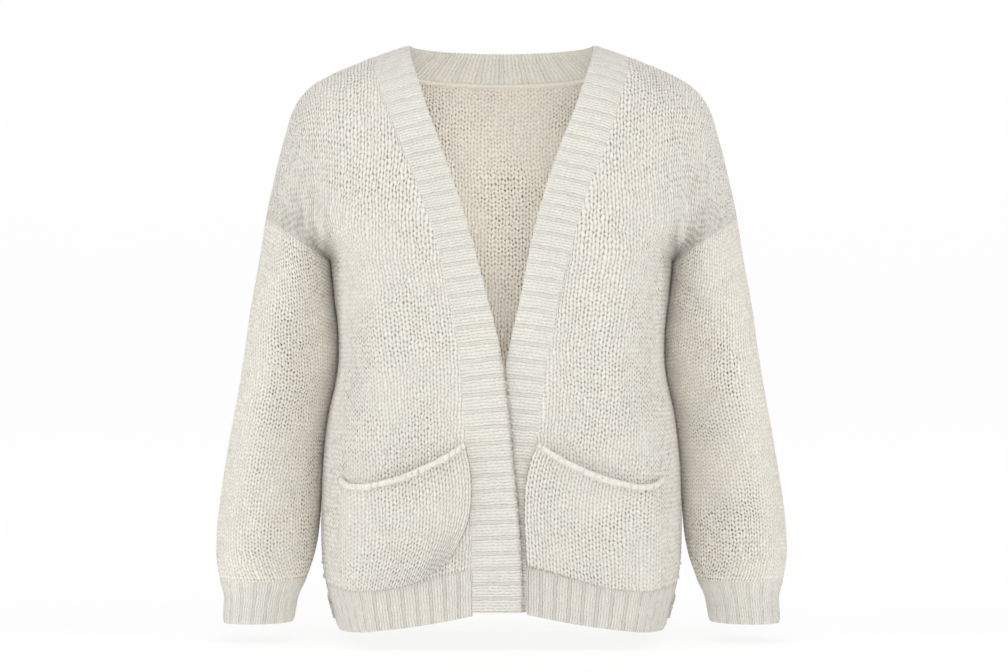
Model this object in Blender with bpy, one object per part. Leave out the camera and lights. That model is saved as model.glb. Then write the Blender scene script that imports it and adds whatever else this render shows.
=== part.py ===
"""Open-front knit cardigan with a ribbed front band, two patch pockets and drop-shoulder sleeves.

The garment keeps the hollow form it has when it is worn, with nobody in it. The front faces -Y, +X is
the wearer's left and +Z is up. The origin lies midway between the two neck points, where the shoulders
hold the garment. Every cloth piece is a closed wall: an outer grid of points and an inner grid, joined
along their rims.

The shape comes from one form. Seen from the front it fills an outline, and its depth at any place grows
with the distance from that outline, so that body and sleeves round off towards their sides. Seams are
curves on that form, and each panel is a grid stretched between its seams.
"""

import math
from collections import namedtuple

import bmesh
import bpy
import numpy as np

MM = 0.001

# Cloth
WALL = 2.7 * MM              # thickness of the knit
RIB_RELIEF = 1.1 * MM        # height of a rib above its furrow
HALF_SEAM = 0.17 * MM        # what each piece stands back from a seam line

# Ribs in each ribbed piece, and where the three points of one rib lie along its width
FRONT_BAND_RIBS = 42
NECK_BAND_RIBS = 14
FRONT_HEM_RIBS = 16
BACK_HEM_RIBS = 34
CUFF_RIBS = 18
RIB_STEPS = (0.0, 0.22, 0.78)
RIB_HEIGHTS = (0.0, 1.0, 1.0)

# Cells of each grid
FINE = 4                     # steps worked out for each cell, to place points and normals well
SHOULDER_CELLS = 9           # across a front, and along each shoulder seam
NECK_CELLS = 6               # from the middle of the back neck to the shoulder
CELLS_BELOW_UNDERARM = 11
CELLS_ABOVE_UNDERARM = 10
SLEEVE_CELLS = 14

# The form: rounding of the torso, of its sides and of the arm, and where torso turns into arm
TORSO_ROUNDING = 110 * MM
SIDE_ROUNDING = 52 * MM
ARM_ROUNDING = 75 * MM
ARM_DEPTH = 89 * MM
ARM_BLEND_FROM = 110 * MM
ARM_BLEND_OVER = 125 * MM

UNDERARM = (184.0 * MM, -234.0 * MM)
ARMHOLE_TOP = (254.0 * MM, -187.0 * MM)
NECK_POINT = (98.8 * MM, 0.0)
BAND_AT_SHOULDER = 136.6 * MM   # how far out the band's sewn edge meets the shoulder
SLEEVE_CLEARANCE = 0.7 * MM  # between a sleeve and the side of the body it hangs against

# The right front band lies over the left one, and the right front rises with it
OVERLAP_LIFT = 6.2 * MM
LIFT_FROM_HEIGHT = -270 * MM
LIFT_OVER_HEIGHT = 70 * MM
LIFT_FROM_WIDTH = -150 * MM
LIFT_OVER_WIDTH = 115 * MM

# Torso sections, from the hem up
TorsoSection = namedtuple("TorsoSection", "height half_width front back")
TORSO = [
    TorsoSection(-632, 175.0, 113, 104),
    TorsoSection(-617, 178.5, 114, 105),
    TorsoSection(-600, 182.5, 116, 107),
    TorsoSection(-580, 189.0, 121, 110),
    TorsoSection(-560, 192.4, 125, 112),
    TorsoSection(-530, 194.0, 127.5, 112.5),
    TorsoSection(-490, 193.8, 128.5, 111),
    TorsoSection(-440, 191.4, 128, 108.5),
    TorsoSection(-398, 186.2, 127.5, 106.5),
    TorsoSection(-350, 176.2, 126, 106.5),
    TorsoSection(-315, 175.4, 125, 108),
    TorsoSection(-275, 179.5, 123, 111),
    TorsoSection(-234, 184.0, 121, 114.5),
    TorsoSection(-180, 184.0, 118.5, 118),
    TorsoSection(-100, 184.0, 117, 119),
    TorsoSection(40, 184.0, 115, 115),
]

# Outline of shoulder and upper sleeve, from the middle of the neck outwards
OutlinePoint = namedtuple("OutlinePoint", "across height")
SHOULDER_OUTLINE = [
    OutlinePoint(98.8, 0),
    OutlinePoint(122, -7.6),
    OutlinePoint(155, -20.5),
    OutlinePoint(187, -34.5),
    OutlinePoint(205, -45.5),
    OutlinePoint(218, -59.4),
    OutlinePoint(226, -75),
    OutlinePoint(233, -98.3),
    OutlinePoint(240, -124),
    OutlinePoint(246, -150),
    OutlinePoint(254, -187),
    OutlinePoint(260, -228),
    OutlinePoint(269, -280),
]
NECK_RISE = 23 * MM          # how far the outline would rise over the middle of the open neck

# Front bands: the free edge and the sewn edge, each as a distance across at a height
BandEdge = namedtuple("BandEdge", "height free sewn")
RIGHT_BAND = [               # over; its figures grow towards the wearer's left
    BandEdge(-45, -87.3, -129.8),
    BandEdge(-75, -77.6, -119.4),
    BandEdge(-120, -61.6, -101.6),
    BandEdge(-165, -45.7, -84.2),
    BandEdge(-214, -30.6, -68.2),
    BandEdge(-270, -15.8, -55.8),
    BandEdge(-330, -0.6, -44.6),
    BandEdge(-390, 7.6, -39.2),
    BandEdge(-450, 13.0, -35.2),
    BandEdge(-510, 18.6, -31.4),
    BandEdge(-560, 21.4, -29.6),
    BandEdge(-601, 22.4, -29.5),
]
LEFT_BAND = [                # under; its figures grow towards the wearer's left
    BandEdge(-45, 87.3, 129.0),
    BandEdge(-75, 77.0, 121.4),
    BandEdge(-120, 59.4, 106.4),
    BandEdge(-165, 44.4, 88.6),
    BandEdge(-214, 31.6, 74.4),
    BandEdge(-270, 20.4, 60.6),
    BandEdge(-330, 7.4, 48.6),
    BandEdge(-390, -3.0, 40.4),
    BandEdge(-450, -10.0, 33.6),
    BandEdge(-510, -16.6, 27.6),
    BandEdge(-560, -20.6, 26.0),
    BandEdge(-601, -22.6, 26.4),
]

# Width of a front band's ribs, by share of its length from the hem to the shoulder
RibWidth = namedtuple("RibWidth", "share width")
BAND_RIB_WIDTHS = [
    RibWidth(0.00, 15.6),
    RibWidth(0.25, 16.2),
    RibWidth(0.40, 17.8),
    RibWidth(0.52, 16.4),
    RibWidth(0.62, 14.4),
    RibWidth(0.78, 15.2),
    RibWidth(1.00, 16.6),
]

# Heights of the hem: where the rib starts and where it ends, by distance from the middle
HemPoint = namedtuple("HemPoint", "across rib_top bottom")
FRONT_HEM = [
    HemPoint(0, -552, -600.0),
    HemPoint(32, -556, -604.5),
    HemPoint(64, -564, -610.5),
    HemPoint(106, -575.5, -617.0),
    HemPoint(140, -580.5, -621.0),
    HemPoint(170, -581, -625.0),
    HemPoint(194, -579, -628.0),
]
BACK_HEM_TOP = -579 * MM
BACK_HEM_BOTTOM = -628 * MM
BACK_HEM_RISE = 7 * MM       # how much higher its bottom hangs in the middle

# Back neck: the sewn edge of the band, from the middle to the shoulder
NeckPoint = namedtuple("NeckPoint", "across height")
NECK_SEAM = [
    NeckPoint(0, -34),
    NeckPoint(50, -32.5),
    NeckPoint(90, -29),
    NeckPoint(118, -22),
    NeckPoint(136.6, -13),
]
NECK_EDGE_DROP = 1.5 * MM    # the free neck edge, at its middle, below the neck points

# Sleeve sections below the armhole: inner and outer side, half depth, how far forward it hangs, and
# how much further forward the outer side is than the inner one
SleeveSection = namedtuple(
    "SleeveSection", "inner_across inner_height outer_across outer_height depth forward turn")
SLEEVE = [
    SleeveSection(184, -234, 254, -187, 65, 0, 0),
    SleeveSection(180.5, -272, 260.5, -232, 63, 0, 10),
    SleeveSection(176.0, -315, 269.0, -283, 60, 1, 24),
    SleeveSection(177.6, -355, 276.0, -335, 57.5, 2, 30),
    SleeveSection(186.2, -397, 284.0, -385, 56, 4, 32),
    SleeveSection(191.0, -437, 292.5, -432, 56, 6, 30),
    SleeveSection(194.6, -487, 301.0, -486, 56.5, 8, 26),
    SleeveSection(198.0, -525, 305.0, -525, 55.5, 9, 22),
    SleeveSection(203.0, -553, 305.2, -553, 52, 10, 18),
    SleeveSection(210.5, -575, 302.0, -575, 45, 10, 14),
]
CUFF = [
    SleeveSection(213.4, -577, 300.6, -577, 41.5, 10, 13),
    SleeveSection(219.0, -593, 297.6, -593, 37, 10, 11),
    SleeveSection(221.6, -606, 298.2, -606, 36, 10, 10),
    SleeveSection(224.0, -621, 299.0, -621, 36.5, 10, 10),
]

# Pockets: the line of the rolled mouth, and the sewn edge from the mouth down and round to the side
PocketPoint = namedtuple("PocketPoint", "across height")
POCKET_MOUTH = [
    PocketPoint(166.5, -464.0),
    PocketPoint(159, -468.4),
    PocketPoint(144, -470.6),
    PocketPoint(122, -466.4),
    PocketPoint(100, -459.6),
    PocketPoint(79, -450.6),
    PocketPoint(58, -440.0),
    PocketPoint(37, -426.0),
]
RIGHT_POCKET_SIDE = [
    PocketPoint(56, -549),
    PocketPoint(41, -522),
    PocketPoint(33.4, -502),
    PocketPoint(30.6, -480),
    PocketPoint(31.4, -455),
    PocketPoint(37, -426),
]
LEFT_POCKET_SIDE = [
    PocketPoint(26.2, -551.5),
    PocketPoint(24.8, -525),
    PocketPoint(23.4, -500),
    PocketPoint(24.8, -470),
    PocketPoint(29.6, -445),
    PocketPoint(37, -426),
]
POCKET_OUTER = 166.5 * MM
POCKET_FOOT = 2.2 * MM       # from the top of the hem's rib up to the pocket's sewn foot
POCKET_CELLS_ACROSS = 12
POCKET_CELLS_UP = 8
POCKET_CLEARANCE = 0.4 * MM  # between the pocket's sewn rim and the front below it
POCKET_OVER_BAND = 1.3 * MM  # what its inner rim rises further to pass over the band's ribs
POCKET_BULGE = 8.0 * MM
ROLL_RADIUS = 1.9 * MM       # inside the rolled edge
ROLL_TURN = 262.0            # degrees
ROLL_CELLS = 7

TAPE_HEIGHT = 6.0 * MM
TAPE_THICKNESS = 1.6 * MM
TAPE_CLEARANCE = 0.5 * MM
TAPE_CELLS = 24
TAPE_ENDS = 0.06             # part of the neck seam left bare at each end

COLOURS = {
    "body": (0.66, 0.64, 0.57, 1.0),
    "rib": (0.70, 0.68, 0.62, 1.0),
    "sleeve": (0.64, 0.62, 0.55, 1.0),
    "pocket": (0.68, 0.66, 0.60, 1.0),
    "tape": (0.62, 0.58, 0.50, 1.0),
}
RIGHT = -1
LEFT = 1


# ---------------------------------------------------------------- curves and tables

def column(table, key, value, at):
    """Read a table's column at any place, as a smooth curve through its rows. Lengths are in mm."""
    knots = np.array([getattr(row, key) for row in table], float) * MM
    values = np.array([getattr(row, value) for row in table], float) * MM
    if knots[0] > knots[-1]:
        knots = knots[::-1]
        values = values[::-1]
    at = np.clip(np.asarray(at, float), knots[0], knots[-1])
    slopes = np.gradient(values, knots)
    k = np.clip(np.searchsorted(knots, at) - 1, 0, len(knots) - 2)
    width = knots[k + 1] - knots[k]
    t = (at - knots[k]) / width
    start = (2 * t ** 3 - 3 * t ** 2 + 1) * values[k] + (t ** 3 - 2 * t ** 2 + t) * width * slopes[k]
    end = (3 * t ** 2 - 2 * t ** 3) * values[k + 1] + (t ** 3 - t ** 2) * width * slopes[k + 1]
    return start + end


def smooth_line(table, steps=24):
    """Give a smooth curve through a table's points (across, height), as an array of x and z."""
    points = np.array([(row.across, row.height) for row in table], float) * MM
    lengths = np.concatenate([[0], np.cumsum(np.linalg.norm(np.diff(points, axis=0), axis=1))])
    slopes = np.gradient(points, lengths, axis=0)
    pieces = []
    for k in range(len(points) - 1):
        t = np.linspace(0, 1, steps, endpoint=False)[:, None]
        width = lengths[k + 1] - lengths[k]
        start = (2 * t ** 3 - 3 * t ** 2 + 1) * points[k] + (t ** 3 - 2 * t ** 2 + t) * width * slopes[k]
        end = (3 * t ** 2 - 2 * t ** 3) * points[k + 1] + (t ** 3 - t ** 2) * width * slopes[k + 1]
        pieces.append(start + end)
    pieces.append(points[-1:])
    return np.concatenate(pieces)


def along(line, fractions):
    """Give the points at the stated fractions of a line's length."""
    steps = np.linalg.norm(np.diff(line, axis=0), axis=1)
    lengths = np.concatenate([[0], np.cumsum(steps)])
    at = np.asarray(fractions, float) * lengths[-1]
    return np.stack([np.interp(at, lengths, line[:, k]) for k in range(line.shape[1])], axis=1)


def ease(t):
    """Rise smoothly from 0 to 1."""
    t = np.clip(t, 0, 1)
    return t * t * (3 - 2 * t)


# ---------------------------------------------------------------- the form

def shoulder_line():
    """Give the outline from the neck point over the shoulder to the upper sleeve."""
    return smooth_line(SHOULDER_OUTLINE, 10)


def outer_outline():
    """Give the outline with its rounded rise over the open neck."""
    x = np.linspace(0, NECK_POINT[0], 20, endpoint=False)
    rise = NECK_RISE * (1 - (x / NECK_POINT[0]) ** 2)
    return np.concatenate([np.stack([x, rise], axis=1), shoulder_line()])


def side_outline():
    """Give the side of the body from below the hem to the underarm."""
    heights = np.linspace(-640 * MM, UNDERARM[1], 34)
    return np.stack([column(TORSO, "height", "half_width", heights), heights], axis=1)


def distance(x, z, line):
    """Give the distance of each place (x, z) from a line of points."""
    best = np.full(np.shape(x), 1.0)
    for start, end in zip(line[:-1], line[1:]):
        run = end - start
        t = np.clip(((x - start[0]) * run[0] + (z - start[1]) * run[1]) / (run @ run), 0, 1)
        best = np.minimum(best, np.hypot(x - start[0] - t * run[0], z - start[1] - t * run[1]))
    return best


def rounded(q):
    """Give the height of a quarter circle that starts at an edge and is level from q = 1 on."""
    return np.sqrt(1 - (1 - np.clip(q, 0, 1)) ** 2)


OUTER_OUTLINE = outer_outline()
SIDE_OUTLINE = side_outline()


def on_shoulder(across, side=1):
    """Give the place on the shoulder outline at a distance across."""
    return np.array([side * across, np.interp(across, OUTER_OUTLINE[:, 0], OUTER_OUTLINE[:, 1])])


def form_depth(x, z, facing):
    """Give how far the form's front or back lies from the plane through its outline."""
    x = np.abs(np.asarray(x, float))
    z = np.asarray(z, float)
    arm = ease((x - ARM_BLEND_FROM) / ARM_BLEND_OVER)
    depth = column(TORSO, "height", facing, z) * (1 - arm) + ARM_DEPTH * arm
    rounding = TORSO_ROUNDING * (1 - arm) + ARM_ROUNDING * arm
    to_outer = distance(x, z, OUTER_OUTLINE)
    to_side = distance(x, z, SIDE_OUTLINE)
    return depth * rounded(to_outer / rounding) * rounded(to_side / SIDE_ROUNDING)


def lift(x, z):
    """Give how far the right front stands out where its band lies over the left one."""
    down = ease((LIFT_FROM_HEIGHT - np.asarray(z)) / LIFT_OVER_HEIGHT)
    across = ease((np.asarray(x) - LIFT_FROM_WIDTH) / LIFT_OVER_WIDTH)
    return OVERLAP_LIFT * down * across


def on_front(places, side):
    """Set places (x, z) on the front of the form, on one side of the garment."""
    x = places[..., 0]
    z = places[..., 1]
    y = -form_depth(x, z, "front")
    if side == RIGHT:
        y = y - lift(x, z)
    return np.stack([x, y, z], axis=-1)


def on_back(places):
    """Set places (x, z) on the back of the form."""
    x = places[..., 0]
    z = places[..., 1]
    return np.stack([x, form_depth(x, z, "back"), z], axis=-1)


# ---------------------------------------------------------------- grids

def stretch(bottom, top, start, end, weights_up, weights_across):
    """Fill the grid between four edges: bottom and top run across, start and end run up."""
    b = weights_up[:, None, None]
    a = weights_across[None, :, None]
    between = (1 - b) * bottom[None] + b * top[None]
    at_start = start[:, None] - between[:, :1]
    at_end = end[:, None] - between[:, -1:]
    return between + (1 - a) * at_start + a * at_end


def even_rows(grid, rows):
    """Space a grid's rows evenly along each of its columns."""
    fractions = np.linspace(0, 1, rows)
    return np.stack([along(grid[:, k], fractions) for k in range(grid.shape[1])], axis=1)


def even_columns(grid, fractions):
    """Place a grid's columns at the stated fractions along each of its rows."""
    return np.stack([along(row, fractions) for row in grid])


def normals(grid, closed=False):
    """Give each point's unit normal, towards the outside when columns run across and rows run up."""
    if closed:
        across = np.roll(grid, -1, axis=1) - np.roll(grid, 1, axis=1)
    else:
        across = np.gradient(grid, axis=1)
    up = np.gradient(grid, axis=0)
    normal = np.cross(across, up)
    length = np.linalg.norm(normal, axis=-1, keepdims=True)
    return normal / np.maximum(length, 1e-12)


def draw_back(outer, inner, rims):
    """Draw a wall's rims back from their seams, both sheets alike. Rims are named first_row and so on."""
    outer = outer.copy()
    inner = inner.copy()
    places = {"first_row": (0, 1), "last_row": (-1, -2), "first_column": (0, 1), "last_column": (-1, -2)}
    for rim in rims:
        edge, beside = places[rim]
        at_edge = (edge,) if rim.endswith("row") else (slice(None), edge)
        next_to = (beside,) if rim.endswith("row") else (slice(None), beside)
        step = outer[next_to] - outer[at_edge]
        step = step / np.maximum(np.linalg.norm(step, axis=-1, keepdims=True), 1e-9) * HALF_SEAM
        outer[at_edge] += step
        inner[at_edge] += step
    return outer, inner


def along_seam(edge, fractions):
    """Give points along a neighbour's edge, a pair of outer and inner lines, by the outer line's length."""
    outer, inner = edge
    lengths = np.concatenate([[0], np.cumsum(np.linalg.norm(np.diff(outer, axis=0), axis=1))])
    at = np.asarray(fractions) * lengths[-1]
    points = []
    for line in (outer, inner):
        points.append(np.stack([np.interp(at, lengths, line[:, k]) for k in range(3)], axis=1))
    return points


def rib_fractions(ribs):
    """Give where the points of a row of ribs lie along its length, and how high each is raised."""
    fractions = [(rib + step) / ribs for rib in range(ribs) for step in RIB_STEPS]
    heights = [height for _ in range(ribs) for height in RIB_HEIGHTS]
    fractions.append(1.0)
    heights.append(0.0)
    return np.array(fractions), np.array(heights)


def band_fractions():
    """Give where the points of a front band's ribs lie along it, and how high each is raised."""
    even, heights = rib_fractions(FRONT_BAND_RIBS)
    share = np.linspace(0, 1, 201)
    width = np.interp(share, [row.share for row in BAND_RIB_WIDTHS], [row.width for row in BAND_RIB_WIDTHS])
    passed = np.concatenate([[0], np.cumsum(1 / width[1:])])
    return np.interp(even, passed / passed[-1], share), heights


# ---------------------------------------------------------------- objects

def cloth_material(name, colour):
    """Make a plain, rough material for cloth."""
    material = bpy.data.materials.new(name + "_cloth")
    material.use_nodes = True
    shader = material.node_tree.nodes["Principled BSDF"]
    shader.inputs["Base Color"].default_value = colour
    shader.inputs["Roughness"].default_value = 0.95
    shader.inputs["Metallic"].default_value = 0.0
    return material


def wall_object(name, outer, inner, collection, colour, closed=False):
    """Make a closed wall from an outer and an inner grid of points."""
    rows, columns = outer.shape[:2]
    bm = bmesh.new()
    sheets = [[[bm.verts.new(tuple(point)) for point in row] for row in grid] for grid in (outer, inner)]
    spans = columns if closed else columns - 1
    for sheet, turned in ((sheets[0], False), (sheets[1], True)):
        for r in range(rows - 1):
            for c in range(spans):
                d = (c + 1) % columns
                corners = [sheet[r][c], sheet[r][d], sheet[r + 1][d], sheet[r + 1][c]]
                bm.faces.new(corners[::-1] if turned else corners)
    out, into = sheets
    for c in range(spans):
        d = (c + 1) % columns
        bm.faces.new([out[0][d], out[0][c], into[0][c], into[0][d]])
        bm.faces.new([out[-1][c], out[-1][d], into[-1][d], into[-1][c]])
    if not closed:
        for r in range(rows - 1):
            bm.faces.new([out[r][0], out[r + 1][0], into[r + 1][0], into[r][0]])
            bm.faces.new([out[r + 1][-1], out[r][-1], into[r][-1], into[r + 1][-1]])
    bmesh.ops.triangulate(bm, faces=bm.faces[:], quad_method="BEAUTY")
    bmesh.ops.recalc_face_normals(bm, faces=bm.faces[:])
    mesh = bpy.data.meshes.new(name)
    bm.to_mesh(mesh)
    bm.free()
    for face in mesh.polygons:
        face.use_smooth = False
    piece = bpy.data.objects.new(name, mesh)
    piece.data.materials.append(cloth_material(name, COLOURS[colour]))
    collection.objects.link(piece)
    return piece


# ---------------------------------------------------------------- panels

def arc_out(count):
    """Give fractions from 0 to 1 that close up towards 1, as the form turns away at an edge."""
    return np.sin(np.linspace(0, math.pi / 2, count))


def armhole_places(count):
    """Give places along the armhole from the underarm to its top."""
    t = (1 - np.cos(np.linspace(0, math.pi, count))) / 2
    return np.array(UNDERARM) * (1 - t[:, None]) + np.array(ARMHOLE_TOP) * t[:, None]


def shoulder_seam(count):
    """Give places along the shoulder outline from the band to the armhole's top."""
    line = shoulder_line()
    start = on_shoulder(BAND_AT_SHOULDER)
    keep = (line[:, 0] > start[0] + 1 * MM) & (line[:, 1] > ARMHOLE_TOP[1] + 1 * MM)
    seam = np.concatenate([[start], line[keep], [ARMHOLE_TOP]])
    return along(seam, np.linspace(0, 1, count))


def band_table(side):
    """Give the table of the front band on one side."""
    return RIGHT_BAND if side == RIGHT else LEFT_BAND


def band_line(side, edge):
    """Give a band's free or sewn edge as places, from the hem's bottom up to the shoulder."""
    table = band_table(side)
    heights = np.linspace(table[-1].height * MM, table[0].height * MM, 90)
    across = column(table, "height", edge, heights)
    rest = np.linspace(0, 1, 9)[1:, None]
    last = np.array([across[-1], heights[-1]])
    end = on_shoulder(NECK_POINT[0] if edge == "free" else BAND_AT_SHOULDER, side)
    bow = np.array([side * 2.2 * MM, 2.5 * MM]) * np.sin(rest * math.pi)
    return np.concatenate([np.stack([across, heights], axis=1), last * (1 - rest) + end * rest + bow])


def part_of_line(line, from_height, to_height, count, spacing):
    """Give count places on a rising line between two heights, spaced by the stated fractions."""
    heights = line[:, 1]
    keep = (heights > from_height) & (heights < to_height)
    ends = [(np.interp(h, heights, line[:, 0]), h) for h in (from_height, to_height)]
    cut = np.concatenate([ends[:1], line[keep], ends[1:]])
    return along(cut, spacing(count))


def level(count):
    """Give even fractions from 0 to 1."""
    return np.linspace(0, 1, count)


def front_grid(side):
    """Give a front's fine grid. Columns run towards the wearer's left, rows from the hem to the shoulder."""
    count = 64
    seam = band_line(side, "sewn")
    hem_at_band = float(column(FRONT_HEM, "across", "rib_top", abs(seam[8, 0])))
    side_bottom = FRONT_HEM[-1].rib_top * MM
    turn = arc_out(count)

    heights = np.linspace(side_bottom, UNDERARM[1], count)
    side_edge = np.stack([side * column(TORSO, "height", "half_width", heights), heights], axis=1)
    side_edge[-1] = (side * UNDERARM[0], UNDERARM[1])
    low_seam = part_of_line(seam, hem_at_band, UNDERARM[1], count, level)
    hem_x = low_seam[0, 0] + (side_edge[0, 0] - low_seam[0, 0]) * turn
    hem = np.stack([hem_x, column(FRONT_HEM, "across", "rib_top", np.abs(hem_x))], axis=1)
    chest = low_seam[-1] * (1 - turn[:, None]) + side_edge[-1] * turn[:, None]
    low = stretch(hem, chest, low_seam, side_edge, level(count), turn)

    high_seam = part_of_line(seam, UNDERARM[1], seam[-1, 1], count, arc_out)
    shoulder = shoulder_seam(count) * (side, 1)
    armhole = armhole_places(count) * (side, 1)
    high = stretch(chest, shoulder, high_seam, armhole, arc_out(count), turn)

    low = on_front(low, side)
    low[:, -1, 1] = 0
    high = on_front(high, side)
    high[0, -1, 1] = 0
    high[-1, :, 1] = 0
    fractions = level(SHOULDER_CELLS * FINE + 1)
    low = even_columns(even_rows(low, CELLS_BELOW_UNDERARM * FINE + 1), fractions)
    high = even_columns(even_rows(high, CELLS_ABOVE_UNDERARM * FINE + 1), fractions)
    grid = np.concatenate([low, high[1:]])
    return grid if side == LEFT else grid[:, ::-1]


def back_half_grid(side):
    """Give the fine grid of half of the back. Columns run from the middle to the side."""
    count = 64
    turn = arc_out(count)
    heights = np.linspace(BACK_HEM_TOP, UNDERARM[1], count)
    side_edge = np.stack([side * column(TORSO, "height", "half_width", heights), heights], axis=1)
    side_edge[-1] = (side * UNDERARM[0], UNDERARM[1])
    middle = np.stack([np.zeros(count), heights], axis=1)
    hem = middle[0] * (1 - turn[:, None]) + side_edge[0] * turn[:, None]
    chest = middle[-1] * (1 - turn[:, None]) + side_edge[-1] * turn[:, None]
    low = stretch(hem, chest, middle, side_edge, level(count), turn)

    neck = smooth_line(NECK_SEAM, 8)
    neck[-1] = on_shoulder(BAND_AT_SHOULDER)
    shoulder = np.concatenate([along(neck, level(count))[:-1], shoulder_seam(count)]) * (side, 1)
    turn = arc_out(2 * count - 1)
    chest = middle[-1] * (1 - turn[:, None]) + side_edge[-1] * turn[:, None]
    high_middle = np.stack([np.zeros(count), np.linspace(UNDERARM[1], neck[0, 1], count)], axis=1)
    armhole = armhole_places(count) * (side, 1)
    high = stretch(chest, shoulder, high_middle, armhole, arc_out(count), turn)

    low = on_back(low)
    low[:, -1, 1] = 0
    high = on_back(high)
    high[0, -1, 1] = 0
    high[-1, count - 1:, 1] = 0
    low = even_rows(low, CELLS_BELOW_UNDERARM * FINE + 1)
    high = even_rows(high, CELLS_ABOVE_UNDERARM * FINE + 1)
    lengths = np.concatenate([[0], np.cumsum(np.linalg.norm(np.diff(high[-1], axis=0), axis=1))])
    corner = lengths[count - 1] / lengths[-1]
    neck_part = np.linspace(0, corner, NECK_CELLS * FINE + 1)
    shoulder_part = np.linspace(corner, 1, SHOULDER_CELLS * FINE + 1)
    at_top = np.concatenate([neck_part, shoulder_part[1:]])
    even = level(len(at_top))
    rows = [along(row, even) for row in low]
    for k, row in enumerate(high[1:], start=1):
        share = (k / (len(high) - 1)) ** 1.5
        rows.append(along(row, even * (1 - share) + at_top * share))
    return np.array(rows)


def back_grid():
    """Give the back's fine grid. Columns run from the wearer's left side to the right."""
    left = back_half_grid(LEFT)
    right = back_half_grid(RIGHT)
    return np.concatenate([left[:, ::-1], right[:, 1:]], axis=1)


def edge_normals(grid):
    """Give a grid's normals, kept level where front and back meet."""
    normal = normals(grid)
    normal[np.abs(grid[..., 1]) < 0.02 * MM, 1] = 0
    length = np.linalg.norm(normal, axis=-1, keepdims=True)
    return normal / np.maximum(length, 1e-12)


def sheets(grid):
    """Give a panel's outer and inner points from its fine grid."""
    outer = grid[::FINE, ::FINE]
    return outer, outer - edge_normals(grid)[::FINE, ::FINE] * WALL


ALL_RIMS = ("first_row", "last_row", "first_column", "last_column")


def front_object(side, grid, collection):
    """Make one front from its fine grid."""
    outer, inner = draw_back(*sheets(grid), ALL_RIMS)
    return wall_object("front_right" if side == RIGHT else "front_left", outer, inner, collection, "body")


def back_object(grid, collection):
    """Make the back from its fine grid."""
    outer, inner = draw_back(*sheets(grid), ALL_RIMS)
    return wall_object("back", outer, inner, collection, "body")


# ---------------------------------------------------------------- sleeves and cuffs

def smooth_sections(table, count):
    """Give count sections, spaced evenly along a smooth run through the table's sections."""
    rows = np.array(table, float) * MM
    middle = (rows[:, 0:2] + rows[:, 2:4]) / 2
    lengths = np.concatenate([[0], np.cumsum(np.linalg.norm(np.diff(middle, axis=0), axis=1))])
    slopes = np.gradient(rows, lengths, axis=0)
    at = np.linspace(0, lengths[-1], count)
    k = np.clip(np.searchsorted(lengths, at) - 1, 0, len(lengths) - 2)
    width = (lengths[k + 1] - lengths[k])[:, None]
    t = ((at - lengths[k]) / width[:, 0])[:, None]
    start = (2 * t ** 3 - 3 * t ** 2 + 1) * rows[k] + (t ** 3 - 2 * t ** 2 + t) * width * slopes[k]
    end = (3 * t ** 2 - 2 * t ** 3) * rows[k + 1] + (t ** 3 - t ** 2) * width * slopes[k + 1]
    return start + end


def half_ring(section, side, facing, fractions):
    """Give points round the front or the back of a sleeve section, from its inner to its outer side."""
    inner, outer = section[0:2], section[2:4]
    depth, forward, turn = section[4:7]
    angle = np.linspace(0, math.pi, 121)
    t = (1 - np.cos(angle))[:, None] / 2
    places = inner * (1 - t) + outer * t
    y = facing * depth * np.sin(angle) ** 0.94 - forward - turn * (t[:, 0] - 0.5)
    points = np.stack([side * places[:, 0], y, places[:, 1]], axis=1)
    return along(points, fractions)


def ring(section, side, half):
    """Give a whole sleeve ring: round the front from the inner side, then round the back."""
    fractions = level(half + 1)
    front = half_ring(section, side, -1, fractions)
    back = half_ring(section, side, 1, fractions)
    return np.concatenate([front[:-1], back[:0:-1]])


def armhole_ring(side, front, back):
    """Give the body's fine points or normals round an armhole, in the order of a sleeve ring."""
    start = CELLS_BELOW_UNDERARM * FINE
    in_front = front[start:, -1] if side == LEFT else front[start:, 0]
    behind = back[start:, 0] if side == LEFT else back[start:, -1]
    return np.concatenate([in_front[:-1], behind[:0:-1]])


def sleeve_grid(side, armhole):
    """Give a sleeve's fine points as rings from the armhole down."""
    rows = SLEEVE_CELLS * FINE
    half = len(armhole) // 2
    rings = np.array([ring(section, side, half) for section in smooth_sections(SLEEVE, rows + 1)])
    difference = armhole - rings[0]
    keep = 1 - ease(np.arange(rows + 1) / (rows * 0.30))
    return clear_of_body(rings + keep[:, None, None] * difference[None], side)


def clear_of_body(rings, side):
    """Keep a sleeve's rings just outside the side of the body."""
    rings = rings.copy()
    body = column(TORSO, "height", "half_width", rings[..., 2]) + SLEEVE_CLEARANCE
    across = side * rings[..., 0]
    below = ease((UNDERARM[1] - rings[..., 2]) / (25 * MM))
    limit = body * below + (UNDERARM[0] + HALF_SEAM) * (1 - below)
    near = np.abs(rings[..., 1]) < 40 * MM
    rings[..., 0] = np.where(near & (across < limit), side * limit, rings[..., 0])
    return rings


def sleeve_sheets(side, front, back):
    """Give a sleeve's outer and inner points, as rings from the cuff up."""
    grid = sleeve_grid(side, armhole_ring(side, front, back))[::-1]
    normal = outward(grid)
    body = armhole_ring(side, edge_normals(front), edge_normals(back))
    height = np.sin(np.linspace(0, math.pi, len(body), endpoint=False))
    share = ease((height - 0.25) / 0.35)[:, None]
    mixed = body * share + normal[-1] * (1 - share)
    normal[-1] = mixed / np.linalg.norm(mixed, axis=-1, keepdims=True)
    outer = grid[::FINE, ::FINE]
    return outer, outer - normal[::FINE, ::FINE] * WALL


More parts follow.
